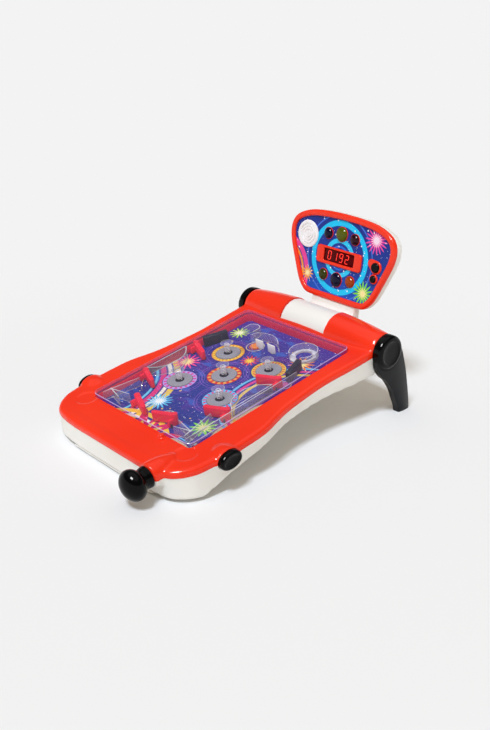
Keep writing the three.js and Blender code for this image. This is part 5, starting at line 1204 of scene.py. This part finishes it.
dress(wire_loop(), "case", STEEL, angle=80)
for index, place in enumerate(BUMPERS, 1):
    coil = bumper_spring(f"coil_{index}", place)
    dress(coil, "case", COIL_PAINTED_SHINE, f"bumper_spring_{index}", angle=60)
    cap = turned(f"cap_{index}", DECK, CAP, "z", (*place, 0), SPIN_SMALL)
    dress(cap, "case", CAP_CLEAR, f"bumper_cap_{index}", angle=40)

dress(copied("play_tray", "board_printed", 0), "case", BOARD, "play_tray", angle=30)
for word in ("left", "right"):
    for node in (f"flipper_{word}_{number}" for number in (1, 2, 3)):
        dress(copied(node, node + "_red", 0.6), node, FLIPPER_RED, node, angle=50)
    block = "deflector_" + word
    flap = "target_" + word
    dress(copied(block, block + "_block", 0.8), "case", BLOCK_BLUE, block, angle=50)
    dress(copied(flap, flap + "_flap", 0.35), flap, WHITE_GLOSS, flap, angle=50)
for node in CLEAR_NODES:
    dress(copied(node, node + "_clear", 0.2, 1), "case", CLEAR_PIECES, node, angle=50)


# Springs that give
def giving_spring(node):
    """Steel copy of a spring node, given a mesh of its own."""
    piece = dress(copied(node, node + "_wire", 0), "case", STEEL, node)
    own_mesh(piece)


giving_spring("return_spring_left")
giving_spring("return_spring_right")
giving_spring("plunger_spring")

# Pieces that keep the shape of their node
PLAIN = {"battery_door": WHITE, "door_screw": STEEL, "battery_1": CELL, "battery_2": CELL, "battery_3": CELL,
         "circuit_board": CIRCUIT, "foot_left": RUBBER, "foot_right": RUBBER, "plunger_rod": STEEL,
         "steel_ball": STEEL, "push_bar_left": BLACK_SATIN, "push_bar_right": BLACK_SATIN}
for node, material in PLAIN.items():
    holder = frame["nodes"][node]
    if not holder.material_slots:
        holder.data.materials.append(material)
    for slot in holder.material_slots:
        slot.material = material


# Floor, light and camera
FLOOR_HALF = 30000
FLOOR_GREY = (0.88, 0.88, 0.88, 1)
FLOOR_FADE = (0.42, 0.85)
PALE = (0.896, 0.896, 0.896, 1)
DUSK = (0.14, 0.14, 0.15, 1)
OVERHEAD = (0.8, 0.8, 0.82, 1)
WARM = (1.0, 0.89, 0.74, 1)
SUN_ANGLE = math.radians(13)
SUN_COLOUR = (0.91, 1.0, 1.13)
AIM = Vector((0, 0, 0.06))
CAMERA_PLACE = Vector((927.7, -750.7, 618.8))
CAMERA_PITCH = 23.295
CAMERA_HEADING = 47.672


def stage():
    """Pale floor that keeps the shadow round the object and fades into the flat backdrop further out."""
    bm = bmesh.new()
    bmesh.ops.create_grid(bm, x_segments=1, y_segments=1, size=FLOOR_HALF)
    floor = object_of(bm, "floor")
    material = bpy.data.materials.new("pale_floor")
    material.use_nodes = True
    net = Net(material.node_tree)
    net.tree.nodes.clear()
    diffuse = net.add("ShaderNodeBsdfDiffuse", {"Color": FLOOR_GREY})
    backdrop = net.add("ShaderNodeEmission", {"Color": PALE})
    far = net.ramp(net.vector("LENGTH", net.where()), *FLOOR_FADE, smooth=True)
    share = net.math("MULTIPLY", net.looked_at(), far)
    net.blend(share, diffuse, backdrop, "ShaderNodeOutputMaterial")
    floor.data.materials.append(material)


def lamp(name, kind, place, unseen, **settings):
    """A lamp that is aimed at the object and unseen by one kind of ray."""
    data = bpy.data.lights.new(name, kind)
    for key, value in settings.items():
        setattr(data, key, value)
    obj = bpy.data.objects.new(name, data)
    obj.location = place
    obj.rotation_euler = (AIM - Vector(place)).to_track_quat("-Z", "Y").to_euler()
    bpy.context.scene.collection.objects.link(obj)
    setattr(obj, unseen, False)


def world():
    """Soft light all round; what is seen of it is pale low down and overhead, and dusky between."""
    scene = bpy.context.scene
    scene.world = bpy.data.worlds.new("studio")
    scene.world.use_nodes = True
    net = Net(scene.world.node_tree)
    net.tree.nodes.clear()
    height = net.split(net.add("ShaderNodeTexCoord").outputs["Generated"])[2]
    dusk = net.mix(net.ramp(height, 0.17, 0.36, smooth=True), PALE, DUSK)
    sky = net.mix(net.ramp(height, 0.7, 0.85, smooth=True), dusk, OVERHEAD)
    soft = net.add("ShaderNodeBackground", {"Color": WARM, "Strength": 0.5})
    pale = net.add("ShaderNodeBackground", {"Color": sky})
    net.blend(net.looked_at(), soft, pale, "ShaderNodeOutputWorld")


def camera():
    data = bpy.data.cameras.new("photo_camera")
    data.sensor_fit = "AUTO"
    data.sensor_width = 36
    data.lens = 47.16
    obj = bpy.data.objects.new("photo_camera", data)
    obj.location = (LEVEL @ CAMERA_PLACE) * MM
    obj.rotation_euler = (math.radians(90 - CAMERA_PITCH), 0, math.radians(CAMERA_HEADING))
    bpy.context.scene.collection.objects.link(obj)
    bpy.context.scene.camera = obj


stage()
# The sun lights everything evenly from the front; the square lamp only shows as a mirror image in the gloss
lamp("key", "SUN", (0.84, -2.1, 4.2), "visible_glossy", energy=2.0, angle=SUN_ANGLE, color=SUN_COLOUR)
lamp("shine", "AREA", (0.3, -1.6, 2.52), "visible_diffuse", shape="SQUARE", size=0.95, energy=210)
world()
camera()
bpy.context.scene.view_settings.view_transform = "Standard"
